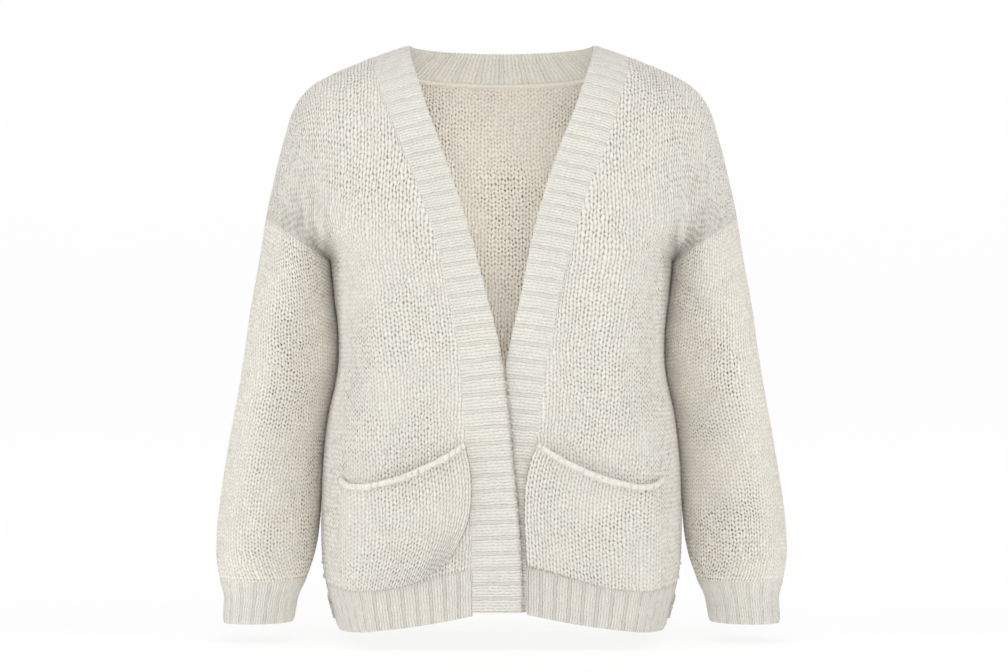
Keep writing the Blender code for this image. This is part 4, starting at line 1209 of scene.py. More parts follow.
    def hem_points(self, side: Side, fractions: np.ndarray, rows: int) -> np.ndarray:
        """Give a front hem's points from its bottom to its top, with columns from band to side."""
        form = self.form
        seam = self.band_line(side, "sewn")
        turn = arc_out(96)
        lines = []
        for key in ("bottom", "rib_top"):
            start_height = float(self.hem_height(key, 30 * MM))
            start = np.interp(start_height, seam[:, 1], seam[:, 0])
            finish = side.value * float(form.half_width(getattr(self.hem[-1], key) * MM))
            x = start + (finish - start) * turn
            z = self.hem_height(key, np.abs(x) * (self.hem[-1].across * MM / abs(finish)))
            line = form.on_front(np.stack([x, z], axis=1), side)
            line[-1, 1] = 0
            lines.append(along(line, fractions))
        return between_lines(lines[0], lines[1], rows, lambda places: form.on_front(places, side))

    def hem_piece(self, side: Side, top: np.ndarray) -> bpy.types.Object:
        """Knit one front's ribbed hem, sewn to the front's lowest row."""
        fractions, heights, wales = self.ribs.fractions(self.hem_ribs)
        points = joined(self.hem_points(side, fractions, self.hem_courses * 2), top, fractions)
        normal = edge_normals(points) * side.value
        wall = ribbed_wall(points, normal, heights, wales, self.ribs.relief, self.hem_courses, -1)
        wall.round_rim("first_row")
        piece = wall.make(f"hem_front_{side.word}_knit")
        return self.finish(piece, self.wardrobe.hem, "rib_knit", (0.235, 0.050), rests_on=(
            "front_" + side.word,))

    def band_fractions(self) -> tuple[np.ndarray, np.ndarray, np.ndarray]:
        """Give where the points of a band's ribs lie along it, with heights and wale counts."""
        even, heights, wales = self.ribs.fractions(self.band_ribs)
        share = level(201)
        width = np.interp(share, [row.share for row in self.rib_widths],
                          [row.width for row in self.rib_widths])
        passed = np.concatenate([[0], np.cumsum(1 / width[1:])])
        return np.interp(even, passed / passed[-1], share), heights, wales

    def band(self, side: Side) -> bpy.types.Object:
        """Knit one front band. Its ribs cross it from the sewn edge to the free edge."""
        form = self.form
        fractions, heights, wales = self.band_fractions()
        free = self.band_line(side, "free")
        sewn = self.band_line(side, "sewn")
        rows = []
        for t in level(self.band_courses * 2 + 1):
            places = along(sewn, level(240)) * (1 - t) + along(free, level(240)) * t
            places[-1] = form.on_shoulder(form.band_at_shoulder * (1 - t) + form.neck_across * t, side)
            points = form.on_front(places, side)
            points[-1, 1] = 0.0
            rows.append(along(points, fractions))
        points = np.array(rows)
        normal = edge_normals(points) * side.value
        wall = ribbed_wall(points, normal, heights, wales, self.ribs.relief, self.band_courses, 0)
        wall.round_rim("last_row")
        # painted shadow: the right band's free edge is darkened, and the left band gets a painted contact
        # shadow along the line where that edge lies over it, growing going down
        over = self.band_line(Side.RIGHT, "free")
        beside = points[..., 0] - np.interp(points[..., 2], over[:, 1], over[:, 0])
        if side is Side.LEFT:
            near = np.exp(-(beside / self.painted_shade_width) ** 2)
        else:
            near = ease((beside + self.painted_shade_edge) / self.painted_shade_edge)
        below = ease((self.painted_shade_from - points[..., 2]) / self.painted_shade_over)
        wall.painted_shade = self.painted_shade * near * below
        piece = wall.make(f"band_{side.word}_knit")
        return self.finish(piece, self.wardrobe.rib, "rib_knit", (0.66, 0.042))


def between_lines(bottom: np.ndarray, top: np.ndarray, rows: int,
                  setter: Callable[[np.ndarray], np.ndarray]) -> np.ndarray:
    """Fill a strip between two lines, set on the form except close to the side seam."""
    grid = []
    for t in level(rows + 1):
        mixed = bottom * (1 - t) + top * t
        on_form = setter(mixed[:, [0, 2]])
        share = ease((np.abs(mixed[:, 1]) - 8 * MM) / (14 * MM))[:, None]
        grid.append(mixed * (1 - share) + on_form * share)
    return np.array(grid)


def ribbed_wall(points: np.ndarray, normal: np.ndarray, heights: np.ndarray, wales: np.ndarray,
                relief: float, courses: int, sewn: int, closed: bool = False) -> Wall:
    """Make a ribbed wall whose columns follow the ribs.

    Args:
        points: The ground that the ribs stand on, by row and column.
        normal: The way in which the ribs stand out.
        heights: Height of each column, from 0 to 1.
        wales: Wale count of each column.
        relief: Full height of a rib.
        courses: Courses from the first row to the last.
        sewn: The sewn row, 0 or -1, where the ribs rise from the neighbour's cloth.
        closed: Whether the piece is a tube.

    Returns:
        The wall, with ribs and faint stitches on both sheets.
    """
    rows, columns = points.shape[:2]
    counts = np.ones((rows, 1)) * wales[None]
    course = level(rows)[:, None] * courses * np.ones((1, columns))
    wall = Wall(points, points - normal * WALL, counts, course, closed)
    uneven = 1 + 0.12 * smooth_noise((rows, columns), (5, 12), 7)
    r = np.abs(np.mod(counts, 1.0) - 0.5) * 2
    loops = 0.16 * MM * np.cos(2 * math.pi * (course - 0.5 * r)) * heights[None]
    from_seam = np.arange(rows) if sewn == 0 else np.arange(rows)[::-1]
    grown = (0.45 + 0.55 * ease(from_seam / 3.0))[:, None]
    rib = (heights[None] * uneven - 0.45) * relief * grown
    wall.raise_by(rib + loops, rib * 0.8 + loops)
    return wall


def joined(points: np.ndarray, seam: np.ndarray, fractions: np.ndarray) -> np.ndarray:
    """Bring a strip's last row onto a neighbour's edge, easing the rows below it along.

    Args:
        points: The strip's points, by row and column.
        seam: The neighbour's edge.
        fractions: Where the strip's columns lie along it.

    Returns:
        The strip's new points.
    """
    rows = len(points)
    share = ease((np.arange(rows) - (rows - 1 - JOIN_ROWS)) / JOIN_ROWS)[:, None, None]
    return points + share * (along(seam, fractions) - points[-1])[None]


@dataclass
class Back(Cloth):
    """The back with its hem, neck band and neck tape."""

    knit: Knit = Knit(wale=7.4 * MM, course=5.2 * MM, columns=3)
    low_courses: int = 65
    high_courses: int = 40
    fine: int = 241
    hem_ribs: int = 34
    hem_courses: int = 11
    neck_ribs: int = 14
    neck_courses: int = 8
    hem_top: float = -579 * MM
    hem_bottom: float = -628 * MM
    hem_rise: float = 7 * MM
    neck_drop: float = 1.5 * MM
    ribs: RibShape = RibShape()
    neck: tuple = (
        Place(0, -34),
        Place(50, -32.5),
        Place(90, -29),
        Place(118, -22),
        Place(136.6, -13),
    )
    smoothed: float = 0.35
    smoothings: int = 220
    tape_height: float = 6.5 * MM
    tape_thickness: float = 2.6 * MM
    tape_clearance: float = 0.5 * MM
    tape_ends: float = 0.045

    def half_points(self, side: Side) -> np.ndarray:
        """Give half of the back. Columns run from the middle to the side, rows from hem to neck."""
        form = self.form
        count = 96
        sign = side.value
        turn = arc_out(count)
        heights = np.linspace(self.hem_top, form.underarm[1], count)
        edge = np.stack([sign * form.half_width(heights), heights], axis=1)
        edge[-1] = (sign * form.underarm[0], form.underarm[1])
        middle = np.stack([np.zeros(count), heights], axis=1)
        hem = middle[0] * (1 - turn[:, None]) + edge[0] * turn[:, None]
        chest = middle[-1] * (1 - turn[:, None]) + edge[-1] * turn[:, None]
        low = form.on_back(stretch(hem, chest, middle, edge, level(count), turn))
        neck = smooth_line(self.neck, 8)
        neck[-1] = form.on_shoulder(form.band_at_shoulder)
        top = np.concatenate([along(neck, level(count))[:-1], form.shoulder_seam(count)]) * (sign, 1)
        turn = arc_out(2 * count - 1)
        chest = middle[-1] * (1 - turn[:, None]) + edge[-1] * turn[:, None]
        heights = np.linspace(form.underarm[1], neck[0, 1], count)
        high_middle = np.stack([np.zeros(count), heights], axis=1)
        armhole = form.armhole(count) * (sign, 1)
        places = stretch(chest, top, high_middle, armhole, arc_out(count), turn)
        from_corner = (np.arange(2 * count - 1) - count + 1) / (self.smoothed * count)
        high = form.on_back(self.smoothed_places(places, np.exp(-from_corner ** 2)))
        low[:, -1, 1] = 0
        high[0, -1, 1] = 0
        high[-1, count - 1:, 1] = 0
        low = even_columns(even_rows(low, self.low_courses * self.knit.rows + 1), level(self.fine))
        high = even_columns(even_rows(high, self.high_courses * self.knit.rows + 1), level(self.fine))
        return np.concatenate([low, high[1:]])

    def smoothed_places(self, places: np.ndarray, near: np.ndarray) -> np.ndarray:
        """Even out places near the columns that bend, so that the rows turn softly there."""
        places = places.copy()
        share = near[None, 1:-1, None]
        for _ in range(self.smoothings):
            even = (places[:-2, 1:-1] + places[2:, 1:-1] + places[1:-1, :-2] + places[1:-1, 2:]) / 4
            places[1:-1, 1:-1] += share * (even - places[1:-1, 1:-1])
        return places

    def sheets(self) -> tuple[np.ndarray, np.ndarray]:
        """Give the back's points and normals. Columns run from the wearer's left side to the right."""
        left = self.half_points(Side.LEFT)
        right = self.half_points(Side.RIGHT)
        points = np.concatenate([left[:, ::-1], right[:, 1:]], axis=1)
        return points, edge_normals(points)

    def panel(self, points: np.ndarray, normal: np.ndarray) -> bpy.types.Object:
        """Knit the back."""
        across = measured(points)
        across = across - across[:, self.fine - 1:self.fine]
        piece = Panel(points, normal, across, self.knit, 41).knit_up().make("back_knit")
        return self.finish(piece, self.wardrobe.back, "body_knit", (0.66, 0.60), area=0.30)

    def hem_piece(self, top: np.ndarray) -> bpy.types.Object:
        """Knit the back's ribbed hem, sewn to its lowest row."""
        form = self.form
        fractions, heights, wales = self.ribs.fractions(self.hem_ribs)
        swing = np.sin(np.linspace(-math.pi / 2, math.pi / 2, 193))
        lines = []
        for height, rise in ((self.hem_bottom, self.hem_rise), (self.hem_top, 0.0)):
            half = float(form.half_width(height))
            line = form.on_back(np.stack([-swing * half, height + rise * (1 - swing ** 2)], axis=1))
            line[[0, -1], 1] = 0
            lines.append(along(line, fractions))
        points = between_lines(lines[0], lines[1], self.hem_courses * 2, form.on_back)
        points = joined(points, top, fractions)
        wall = ribbed_wall(points, edge_normals(points), heights, wales, self.ribs.relief,
                           self.hem_courses, -1)
        wall.round_rim("first_row")
        piece = wall.make("hem_back_knit")
        return self.finish(piece, self.wardrobe.hem, "rib_knit", (0.50, 0.050), rests_on=("back",))

    def neck_rows(self, count: int) -> np.ndarray:
        """Give the neck band's rows, from its sewn edge to its free edge."""
        form = self.form
        seam = smooth_line(self.neck, 8)
        seam = np.concatenate([seam[::-1], seam[1:] * (-1, 1)])
        sweep = np.sin(np.linspace(math.pi / 2, -math.pi / 2, 161))
        free = np.stack([form.neck_across * sweep, -self.neck_drop * (1 - sweep ** 2)], axis=1)
        rows = []
        for t in level(count):
            places = along(seam, level(161)) * (1 - t) + along(free, level(161)) * t
            end = form.on_shoulder(form.band_at_shoulder * (1 - t) + form.neck_across * t)
            places[0] = end
            places[-1] = end * (-1, 1)
            points = form.on_back(places)
            points[[0, -1], 1] = 0.0
            rows.append(points)
        return np.array(rows)

    def neck_band(self) -> bpy.types.Object:
        """Knit the band round the back neck."""
        fractions, heights, wales = self.ribs.fractions(self.neck_ribs)
        rows = self.neck_rows(self.neck_courses * 2 + 1)
        points = np.array([along(row, fractions) for row in rows])
        wall = ribbed_wall(points, edge_normals(points), heights, wales, self.ribs.relief,
                           self.neck_courses, 0)
        wall.round_rim("last_row")
        piece = wall.make("band_neck_knit")
        return self.finish(piece, self.wardrobe.rib, "rib_knit", (0.31, 0.033), rests_on=("back",))

    def neck_tape(self) -> bpy.types.Object:
        """Make the rolled tape that covers the neck seam on the inside."""
        rows = self.neck_rows(7)
        normal = edge_normals(rows)
        keep = np.linspace(self.tape_ends, 1 - self.tape_ends, 121)
        seam = along(rows[0], keep)
        out = along(normal[0], keep)
        up = unit(along(rows[2], keep) - seam)
        ground = seam - unit(out) * (WALL + self.tape_clearance)
        q = np.linspace(-1, 1, 9)[:, None, None]
        face = ground[None] + up[None] * self.tape_height / 2 * q
        rise = self.tape_thickness * np.sqrt(np.maximum(1 - q ** 2, 0.05))
        ends = rounded(np.minimum(keep - keep[0], keep[-1] - keep) / 0.02)[None, :, None]
        inner = face - unit(out)[None] * rise * (0.35 + 0.65 * ends)
        wales = (q[..., 0] * 1.0 + 1.0) * np.ones((1, len(keep)))
        courses = np.ones((len(q), 1)) * (keep * 64)[None]
        piece = Wall(face, inner, wales, courses).make("neck_tape_knit")
        return self.finish(piece, self.wardrobe.tape, "neck_tape", (0.285, 0.012), rests_on=("back",))


@dataclass
class Sleeve(Cloth):
    """A sleeve with its cuff."""

    knit: Knit = Knit(wale=6.9 * MM, course=4.6 * MM)
    courses: int = 84
    half: int = 120
    cuff_ribs: int = 18
    cuff_courses: int = 9
    clearance: float = 0.7 * MM
    near_body: float = 40 * MM
    ribs: RibShape = RibShape()
    sections: tuple = (
        SleeveSection(184, -234, 254, -187, 65, 0, 0),
        SleeveSection(180.5, -272, 260.5, -232, 63, 0, 10),
        SleeveSection(176.0, -315, 269.0, -283, 60, 1, 24),
        SleeveSection(177.6, -355, 276.0, -335, 57.5, 2, 30),
        SleeveSection(186.2, -397, 284.0, -385, 56, 4, 32),
        SleeveSection(191.0, -437, 292.5, -432, 56, 6, 30),
        SleeveSection(194.6, -487, 301.0, -486, 56.5, 8, 26),
        SleeveSection(198.0, -525, 305.0, -525, 55.5, 9, 22),
        SleeveSection(203.0, -553, 305.2, -553, 52, 10, 18),
        SleeveSection(210.5, -575, 302.0, -575, 45, 10, 14),
    )
    cuff: tuple = (
        SleeveSection(213.4, -577, 300.6, -577, 41.5, 10, 13),
        SleeveSection(219.0, -593, 297.6, -593, 37, 10, 11),
        SleeveSection(221.6, -606, 298.2, -606, 36, 10, 10),
        SleeveSection(224.0, -621, 299.0, -621, 36.5, 10, 10),
    )
    creases: tuple = (
        Crease((192, -262), (228, -300), 3.0, 9),
        Crease((184, -292), (232, -342), 3.6, 10),
        Crease((190, -352), (240, -392), 3.0, 11),
        Crease((194, -398), (236, -428), 2.6, 10),
        Crease((262, -330), (282, -430), 1.8, 10),
        Crease((206, -462), (246, -506), 2.6, 11),
        Crease((286, -468), (262, -540), 2.0, 10),
        Crease((222, -530), (236, -570), 2.2, 8),
        Crease((272, -536), (280, -572), 2.0, 8),
    )

    @staticmethod
    def smooth_sections(table: tuple, count: int) -> np.ndarray:
        """Give evenly spaced sections along a smooth run through a table's sections, in metres."""
        rows = np.array(table, float) * MM
        lengths = run_lengths((rows[:, 0:2] + rows[:, 2:4]) / 2)
        slopes = np.gradient(rows, lengths, axis=0)
        at = np.linspace(0, lengths[-1], count)
        k = np.clip(np.searchsorted(lengths, at) - 1, 0, len(lengths) - 2)
        width = (lengths[k + 1] - lengths[k])[:, None]
        t = ((at - lengths[k]) / width[:, 0])[:, None]
        return hermite(rows[k], rows[k + 1], slopes[k] * width, slopes[k + 1] * width, t)

    @staticmethod
    def half_ring(section: np.ndarray, side: Side, facing: Facing, fractions: np.ndarray) -> np.ndarray:
        """Give points round one half of a sleeve section, from its inner to its outer side."""
        inner, outer = section[0:2], section[2:4]
        depth, forward, turn = section[4:7]
        angle = np.linspace(0, math.pi, 121)
        t = (1 - np.cos(angle))[:, None] / 2
        places = inner * (1 - t) + outer * t
        y = facing.value * depth * np.sin(angle) ** 0.94 - forward - turn * (t[:, 0] - 0.5)
        return along(np.stack([side.value * places[:, 0], y, places[:, 1]], axis=1), fractions)

    def ring(self, section: np.ndarray, side: Side, half: int) -> np.ndarray:
        """Give a whole sleeve ring: round the front from the inner side, then round the back."""
        front = self.half_ring(section, side, Facing.FRONT, level(half + 1))
        back = self.half_ring(section, side, Facing.BACK, level(half + 1))
        return np.concatenate([front[:-1], back[:0:-1]])

    def clear_of_body(self, rings: np.ndarray, side: Side) -> np.ndarray:
        """Keep a sleeve's rings just outside the side of the body."""
        form = self.form
        rings = rings.copy()
        body = form.half_width(rings[..., 2]) + self.clearance
        below = ease((form.underarm[1] - rings[..., 2]) / (25 * MM))
        limit = body * below + form.underarm[0] * (1 - below)
        near = np.abs(rings[..., 1]) < self.near_body
        closer = near & (side.value * rings[..., 0] < limit)
        rings[..., 0] = np.where(closer, side.value * limit, rings[..., 0])
        return rings

    def rings(self, side: Side, armhole: np.ndarray) -> np.ndarray:
        """Give a sleeve's smooth rings from the cuff up to the armhole."""
        rows = self.courses * self.knit.rows
        sections = self.smooth_sections(self.sections, rows + 1)
        rings = np.array([self.ring(section, side, self.half) for section in sections])
        keep = 1 - ease(np.arange(rows + 1) / (rows * 0.30))
        rings = rings + keep[:, None, None] * (armhole - rings[0])[None]
        rings = self.clear_of_body(rings, side)
        return self.creased(rings, side)[::-1]

    def creased(self, rings: np.ndarray, side: Side) -> np.ndarray:
        """Press the sleeve's creases into its rings, those behind at other heights than those in front."""
        normal = outward(rings)
        x = np.abs(rings[..., 0])
        z = rings[..., 2]
        shift = 0 if side is Side.LEFT else 14 * MM
        front = sum(crease.at(x, z + shift) for crease in self.creases)
        back = sum(crease.at(x + 6 * MM, z - 26 * MM) for crease in self.creases)
        facing = rings[..., 1] - rings[..., 1].mean(axis=1, keepdims=True)
        share = ease(np.abs(facing) / (22 * MM))
        fold = np.where(facing < 0, front, back) * share
        rows = len(rings)
        fade = ease(np.minimum(np.arange(rows), rows - 1 - np.arange(rows)) / 12)[:, None]
        return rings + normal * (fold * fade)[..., None]

    def sleeve(self, side: Side, armhole: np.ndarray, body_normal: np.ndarray) -> tuple:
        """Knit one sleeve.

        Args:
            side: Which sleeve.
            armhole: The armhole's points in the order of a ring.
            body_normal: The body's normals at those points.

        Returns:
            The piece, and its lowest ring.
        """
        rings = self.rings(side, armhole)
        normal = outward(rings)
        height = np.sin(np.linspace(0, math.pi, len(body_normal), endpoint=False))
        share = ease((height - 0.25) / 0.35)[:, None]
        normal[-1] = unit(body_normal * share + normal[-1] * (1 - share))
        points = np.concatenate([rings, rings[:, :1]], axis=1)
        normal = np.concatenate([normal, normal[:, :1]], axis=1)
        across = measured(points)
        across = across - across[:, self.half:self.half + 1]
        panel = Panel(points, normal, across, self.knit, 61 if side is Side.LEFT else 79)
        piece = panel.knit_up(closed=True).make(f"sleeve_{side.word}_knit")
        piece = self.finish(piece, self.wardrobe.sleeve, "body_knit", (0.37, 0.40), area=0.125,
                            rests_on=("front_" + side.word, "back"))
        return piece, points[0]

    def cuff_piece(self, side: Side, top: np.ndarray) -> bpy.types.Object:
        """Knit one cuff, sewn to the sleeve's lowest ring."""
        fractions, heights, wales = self.ribs.fractions(self.cuff_ribs)
        rings = []
        for section in self.smooth_sections(self.cuff, self.cuff_courses * 2 + 1):
            whole = self.ring(section, side, 120)
            rings.append(along(np.concatenate([whole, whole[:1]]), fractions))
        points = joined(np.array(rings)[::-1], top, fractions)
        normal = outward(points[:, :-1])
        normal = np.concatenate([normal, normal[:, :1]], axis=1)
        wall = ribbed_wall(points, normal, heights, wales, self.ribs.relief, self.cuff_courses, -1, True)
        wall.round_rim("first_row")
        for sheet in (wall.outer, wall.inner):
            sheet[:, -1] = sheet[:, 0]
        piece = wall.make(f"cuff_{side.word}_knit")
        return self.finish(piece, self.wardrobe.rib, "rib_knit", (0.25, 0.045), held="gathered",
                           rests_on=("sleeve_" + side.word,))


@dataclass
class Pocket(Cloth):
    """A patch pocket with its mouth rolled outwards."""

    knit: Knit = Knit(wale=6.6 * MM, course=4.8 * MM)
    wales: int = 20
    courses: int = 24
    roll_rows: int = 16
    roll_radius: float = 1.4 * MM
    roll_wall: float = 2.0 * MM
    roll_turn: float = 262.0
    roll_stitch: tuple[float, float] = (0.25, 0.42)
    outer_end: float = 166.5 * MM
    foot: float = 2.2 * MM
    rim_clearance: float = 0.4 * MM
    over_band: float = 2.4 * MM
    bulge: float = 5.5 * MM
    hem: tuple = HEM_LINE
    mouth: tuple = (
        Place(166.5, -464.0),
        Place(159, -468.4),
        Place(144, -470.6),
        Place(122, -466.4),
        Place(100, -459.6),
        Place(79, -450.6),
        Place(58, -440.0),
        Place(37, -426.0),
    )
    right_side: tuple = (
        Place(56, -549),
        Place(41, -522),
        Place(33.4, -502),
        Place(30.6, -480),
        Place(31.4, -455),
        Place(37, -426),
    )
    left_side: tuple = (
        Place(26.2, -551.5),
        Place(24.8, -525),
        Place(23.4, -500),
        Place(24.8, -470),
        Place(29.6, -445),
        Place(37, -426),
    )

    def places(self, side: Side, across: int, up: int) -> np.ndarray:
        """Give the pocket's places: columns from its outer end inwards, rows from hem to mouth."""
        table = self.right_side if side is Side.RIGHT else self.left_side
        mouth = along(smooth_line(self.mouth), level(across + 1))
        inner = along(smooth_line(table), level(up + 1))
        foot = column(self.hem, "across", "rib_top", self.outer_end) + self.foot
        outer = np.stack([np.full(up + 1, self.outer_end), np.linspace(foot, mouth[0, 1], up + 1)], axis=1)
        x = self.outer_end + (inner[0, 0] - self.outer_end) * level(across + 1)
        hem = column(self.hem, "across", "rib_top", x) + self.foot
        z = hem + (inner[0, 1] - hem[-1]) * ease((level(across + 1) - 0.72) / 0.28)
        bottom = np.stack([x, z], axis=1)
        bottom[0] = outer[0]
        inner[0] = bottom[-1]
        grid = stretch(bottom, mouth, outer, inner, level(up + 1), level(across + 1))
        return grid * (side.value, 1)

    def ground(self, side: Side, places: np.ndarray) -> tuple[np.ndarray, np.ndarray]:
        """Give points on the front at places, with the outward normal at each."""
        step = 1.0 * MM
        form = self.form
        run_x = form.on_front(places + (step, 0), side) - form.on_front(places - (step, 0), side)
        run_z = form.on_front(places + (0, step), side) - form.on_front(places - (0, step), side)
        return form.on_front(places, side), unit(np.cross(run_x, run_z))

    def wall(self, side: Side) -> Wall:
        """Shape the pocket: a bulging patch, and the roll along its mouth."""
        across = self.wales * self.knit.columns
        up = self.courses * self.knit.rows
        point, normal = self.ground(side, self.places(side, across, up))
        a = level(across + 1)[None, :]
        u = level(up + 1)[:, None]
        up_share = np.sin(math.pi / 2 * np.minimum(u * 1.5, 1.0)) ** 0.9
        bulge = self.bulge * np.sin(math.pi * a) ** 1.1 * up_share
        over_band = self.over_band * ease((a - 0.8) / 0.15) * np.ones_like(u)
        inner = point + normal * (self.rim_clearance + bulge + over_band)[..., None]
        flush = 0.25 + 0.75 * ease(a / 0.10)
        outer = inner + normal * (WALL * flush * np.ones_like(u))[..., None]
        rise = unit(outer[-1] - outer[-2])
        out = unit(normal[-1] - rise * np.sum(normal[-1] * rise, axis=-1, keepdims=True))
        uneven = 1 + 0.10 * smooth_noise((1, across + 1), (1, 9), 5 + side.value)[0][:, None]
        centre = outer[-1] + out * self.roll_radius * uneven
        roll_outer, roll_inner = [], []
        for turned in np.linspace(0, self.roll_turn, self.roll_rows + 1)[1:]:
            angle = math.radians(turned)
            arm = rise * math.sin(angle) - out * math.cos(angle)
            roll_outer.append(centre + arm * self.roll_radius * uneven)
            roll_inner.append(centre + arm * (self.roll_radius + self.roll_wall) * uneven)
        outer = np.concatenate([outer, np.array(roll_outer)])
        inner = np.concatenate([inner, np.array(roll_inner)])
        row = np.arange(len(outer))[:, None] * np.ones((1, across + 1))
        wales = level(across + 1)[None, :] * self.wales * np.ones((len(outer), 1))
        courses = row / self.knit.rows
        count = level(across + 1) * self.wales
        wales[up + 2:] = self.roll_stitch[0] + 0.14 * np.sin(2 * math.pi * count)
        courses[up + 2:] = self.roll_stitch[1]
        wall = Wall(outer, inner, wales, courses, painted_shade=np.zeros(wales.shape))
        # painted shade: a slight darkening over the rolled mouth, and deeper shade in the hollows along the
        # pocket's inner side, at the upper outer end below the roll, and along its bottom
        wall.painted_shade[up:] = 0.14
        wall.paint_rim_shade("first_column", 0.6 * ease((np.arange(len(outer)) - 0.8 * up) / (0.15 * up)))
        wall.paint_rim_shade("last_column", 0.9 if side is Side.RIGHT else 0.55)
        wall.paint_rim_shade("first_row", 0.25 + 0.45 * ease((level(across + 1) - 0.5) / 0.3))
        return wall

    def make(self, side: Side) -> bpy.types.Object:
        """Knit one pocket."""
        wall = self.wall(side)
        up = self.courses * self.knit.rows
        rows, columns = wall.outer.shape[:2]
        row = np.arange(rows)[:, None] * np.ones((1, columns))
        rim = np.minimum(np.arange(columns), columns - 1 - np.arange(columns))[None, :]
        fade = ease(rim / 3.0) * ease(row / 2.0)
        on_roll = ease((row - up + 1) / 3.0)
        count = level(columns)[None, :] * self.wales
        height = self.knit.relief(count, row / self.knit.rows) * fade
        near_mouth = np.exp(-np.maximum(up - row, 0) / 9.0) * (1 - on_roll)
        lines = 0.45 * MM * np.cos(2 * math.pi * count) * near_mouth * fade
        wall.raise_by(height * (1 - on_roll) - lines, height * (1 - 0.9 * on_roll))
        piece = wall.make(f"pocket_{side.word}_knit")
        return self.finish(piece, self.wardrobe.body, "body_knit", (0.15, 0.145), area=0.0185,
                           held="draped", rests_on=("front_" + side.word,))


# ---------------------------------------------------------------- studio

class Lamp(NamedTuple):
    """One soft light: where it hangs, its size, its power and what it is turned to."""

    name: str
    at: tuple[float, float, float]
    size: float
    power: float
    aim: tuple[float, float, float] = (0.0, 0.0, -0.3)


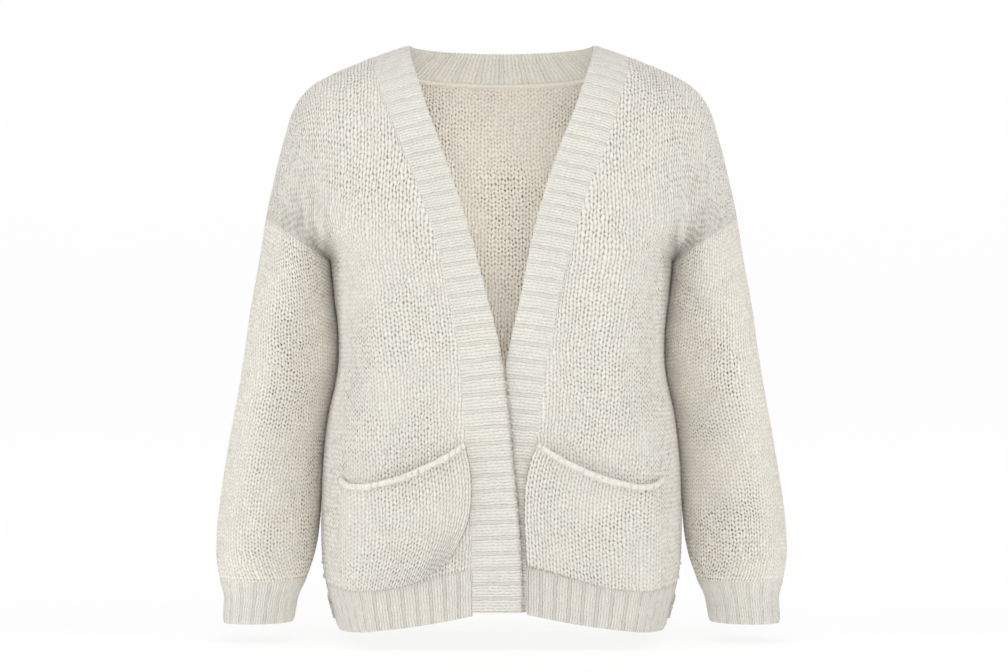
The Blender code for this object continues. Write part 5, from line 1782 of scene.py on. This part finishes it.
@dataclass
class Studio:
    """A white sweep, soft light and the camera."""

    floor: float = -0.6405
    camera_at: tuple[float, float, float] = (0.0027, -3.0, -0.314)
    lens: float = 99.2
    half_width: float = 6.0
    wall_back: float = 3.0
    bend: float = 1.2
    ambient: float = 0.04
    paper: tuple[float, float, float] = (0.15, 0.15, 0.15)
    glow: tuple[float, float] = (0.853, 0.902)
    lamps: tuple = (
        Lamp("front", (0.0, -3.2, -0.1), 0.9, 33.0),
        Lamp("front_left", (0.9, -3.0, 0.1), 1.2, 10.0),
        Lamp("side_right", (-3.0, -0.8, 0.1), 1.4, 30.0),
        Lamp("side_left", (3.0, -0.8, 0.1), 1.4, 12.0),
        Lamp("top", (0.0, -0.3, 2.8), 1.4, 22.0),
        Lamp("top_right", (-1.8, -1.0, 2.0), 1.4, 12.0),
        Lamp("top_left", (1.8, -1.0, 2.0), 1.4, 22.0),
        Lamp("top_front", (0.0, -2.0, 2.2), 1.4, 8.0),
    )
    inside: Lamp = Lamp("inside", (0.0, -0.085, -0.16), 0.18, 0.21, (0.0, 1.0, -0.16))

    def sweep(self) -> None:
        """Lay a white floor that bends up into a wall."""
        bm = bmesh.new()
        start = [bm.verts.new((x, -6.0, self.floor)) for x in (-self.half_width, self.half_width)]
        edge = bm.edges.new(start)
        made = bmesh.ops.extrude_edge_only(bm, edges=[edge])["geom"]
        verts = [item for item in made if isinstance(item, bmesh.types.BMVert)]
        bmesh.ops.translate(bm, verts=verts, vec=(0, 6.0 + self.wall_back, 0))
        for step in range(10):
            edges = [e for e in bm.edges if all(v in verts for v in e.verts)]
            made = bmesh.ops.extrude_edge_only(bm, edges=edges)["geom"]
            verts = [item for item in made if isinstance(item, bmesh.types.BMVert)]
            low, high = (math.radians(9 * step), math.radians(9 * (step + 1)))
            back = self.bend * (math.sin(high) - math.sin(low))
            up = self.bend * (math.cos(low) - math.cos(high))
            bmesh.ops.translate(bm, verts=verts, vec=(0, back, up))
        edges = [e for e in bm.edges if all(v in verts for v in e.verts)]
        made = bmesh.ops.extrude_edge_only(bm, edges=edges)["geom"]
        verts = [item for item in made if isinstance(item, bmesh.types.BMVert)]
        bmesh.ops.translate(bm, verts=verts, vec=(0, 0, 5.0))
        bmesh.ops.recalc_face_normals(bm, faces=bm.faces[:])
        mesh = bpy.data.meshes.new("sweep")
        bm.to_mesh(mesh)
        bm.free()
        mesh.polygons.foreach_set("use_smooth", np.ones(len(mesh.polygons), bool))
        sweep = bpy.data.objects.new("sweep", mesh)
        sweep.data.materials.append(PlainFinish("sweep_white", self.paper, self.glow).make())
        bpy.context.scene.collection.objects.link(sweep)

    @staticmethod
    def light(lamp: Lamp) -> bpy.types.Object:
        """Hang one soft square light, turned towards what it lights."""
        light = bpy.data.lights.new(lamp.name, "AREA")
        light.shape = "SQUARE"
        light.size = lamp.size
        light.energy = lamp.power
        holder = bpy.data.objects.new(lamp.name, light)
        holder.location = lamp.at
        away = Vector(lamp.aim) - Vector(lamp.at)
        holder.rotation_euler = away.to_track_quat("-Z", "Y").to_euler()
        bpy.context.scene.collection.objects.link(holder)
        return holder

    def set_up(self) -> None:
        """Build the studio."""
        self.sweep()
        for lamp in self.lamps:
            self.light(lamp)
        inside = self.light(self.inside)
        inside.visible_camera = False
        scene = bpy.context.scene
        world = bpy.data.worlds.new("studio")
        world.use_nodes = True
        sky = world.node_tree.nodes["Background"]
        sky.inputs["Color"].default_value = (1.0, 1.0, 1.0, 1.0)
        sky.inputs["Strength"].default_value = self.ambient
        scene.world = world
        scene.view_settings.view_transform = "Standard"
        camera = bpy.data.cameras.new("camera")
        camera.lens = self.lens
        camera.sensor_width = 36.0
        holder = bpy.data.objects.new("camera", camera)
        holder.location = self.camera_at
        holder.rotation_euler = (math.pi / 2, 0, 0)
        scene.collection.objects.link(holder)
        scene.camera = holder


# ---------------------------------------------------------------- the whole garment

@dataclass
class Cardigan:
    """The whole garment."""

    form: Form = field(default_factory=Form)
    wardrobe: Wardrobe = field(default_factory=Wardrobe)

    def armhole(self, side: Side, front: tuple, back: tuple, start: tuple[int, int], half: int) -> tuple:
        """Give the points and normals round an armhole, in the order of a sleeve ring."""
        behind_at = 0 if side is Side.LEFT else -1
        rings = []
        for k in (0, 1):
            in_front = along(front[k][start[0]:, -1], level(half + 1))
            behind = along(back[k][start[1]:, behind_at], level(half + 1))
            rings.append(np.concatenate([in_front[:-1], behind[:0:-1]]))
        return rings[0], unit(rings[1])

    def make(self) -> None:
        """Knit and dress every piece."""
        body = FrontBody(self.form, self.wardrobe)
        back = Back(self.form, self.wardrobe)
        sleeve = Sleeve(self.form, self.wardrobe)
        pocket = Pocket(self.form, self.wardrobe)
        behind = back.sheets()
        back.panel(*behind)
        back.hem_piece(behind[0][0])
        back.neck_band()
        back.neck_tape()
        low_rows = (body.low_courses * body.knit.rows, back.low_courses * back.knit.rows)
        for side in (Side.RIGHT, Side.LEFT):
            front = body.front_sheets(side)
            body.front(side, *front)
            body.hem_piece(side, front[0][0])
            body.band(side)
            ring, normal = self.armhole(side, front, behind, low_rows, sleeve.half)
            _, lowest = sleeve.sleeve(side, ring, normal)
            sleeve.cuff_piece(side, lowest)
            pocket.make(side)


def main() -> None:
    """Build the garment and its studio."""
    logging.basicConfig(level=logging.INFO, format="%(message)s")
    Studio().set_up()
    Cardigan().make()


if __name__ == "__main__":
    main()
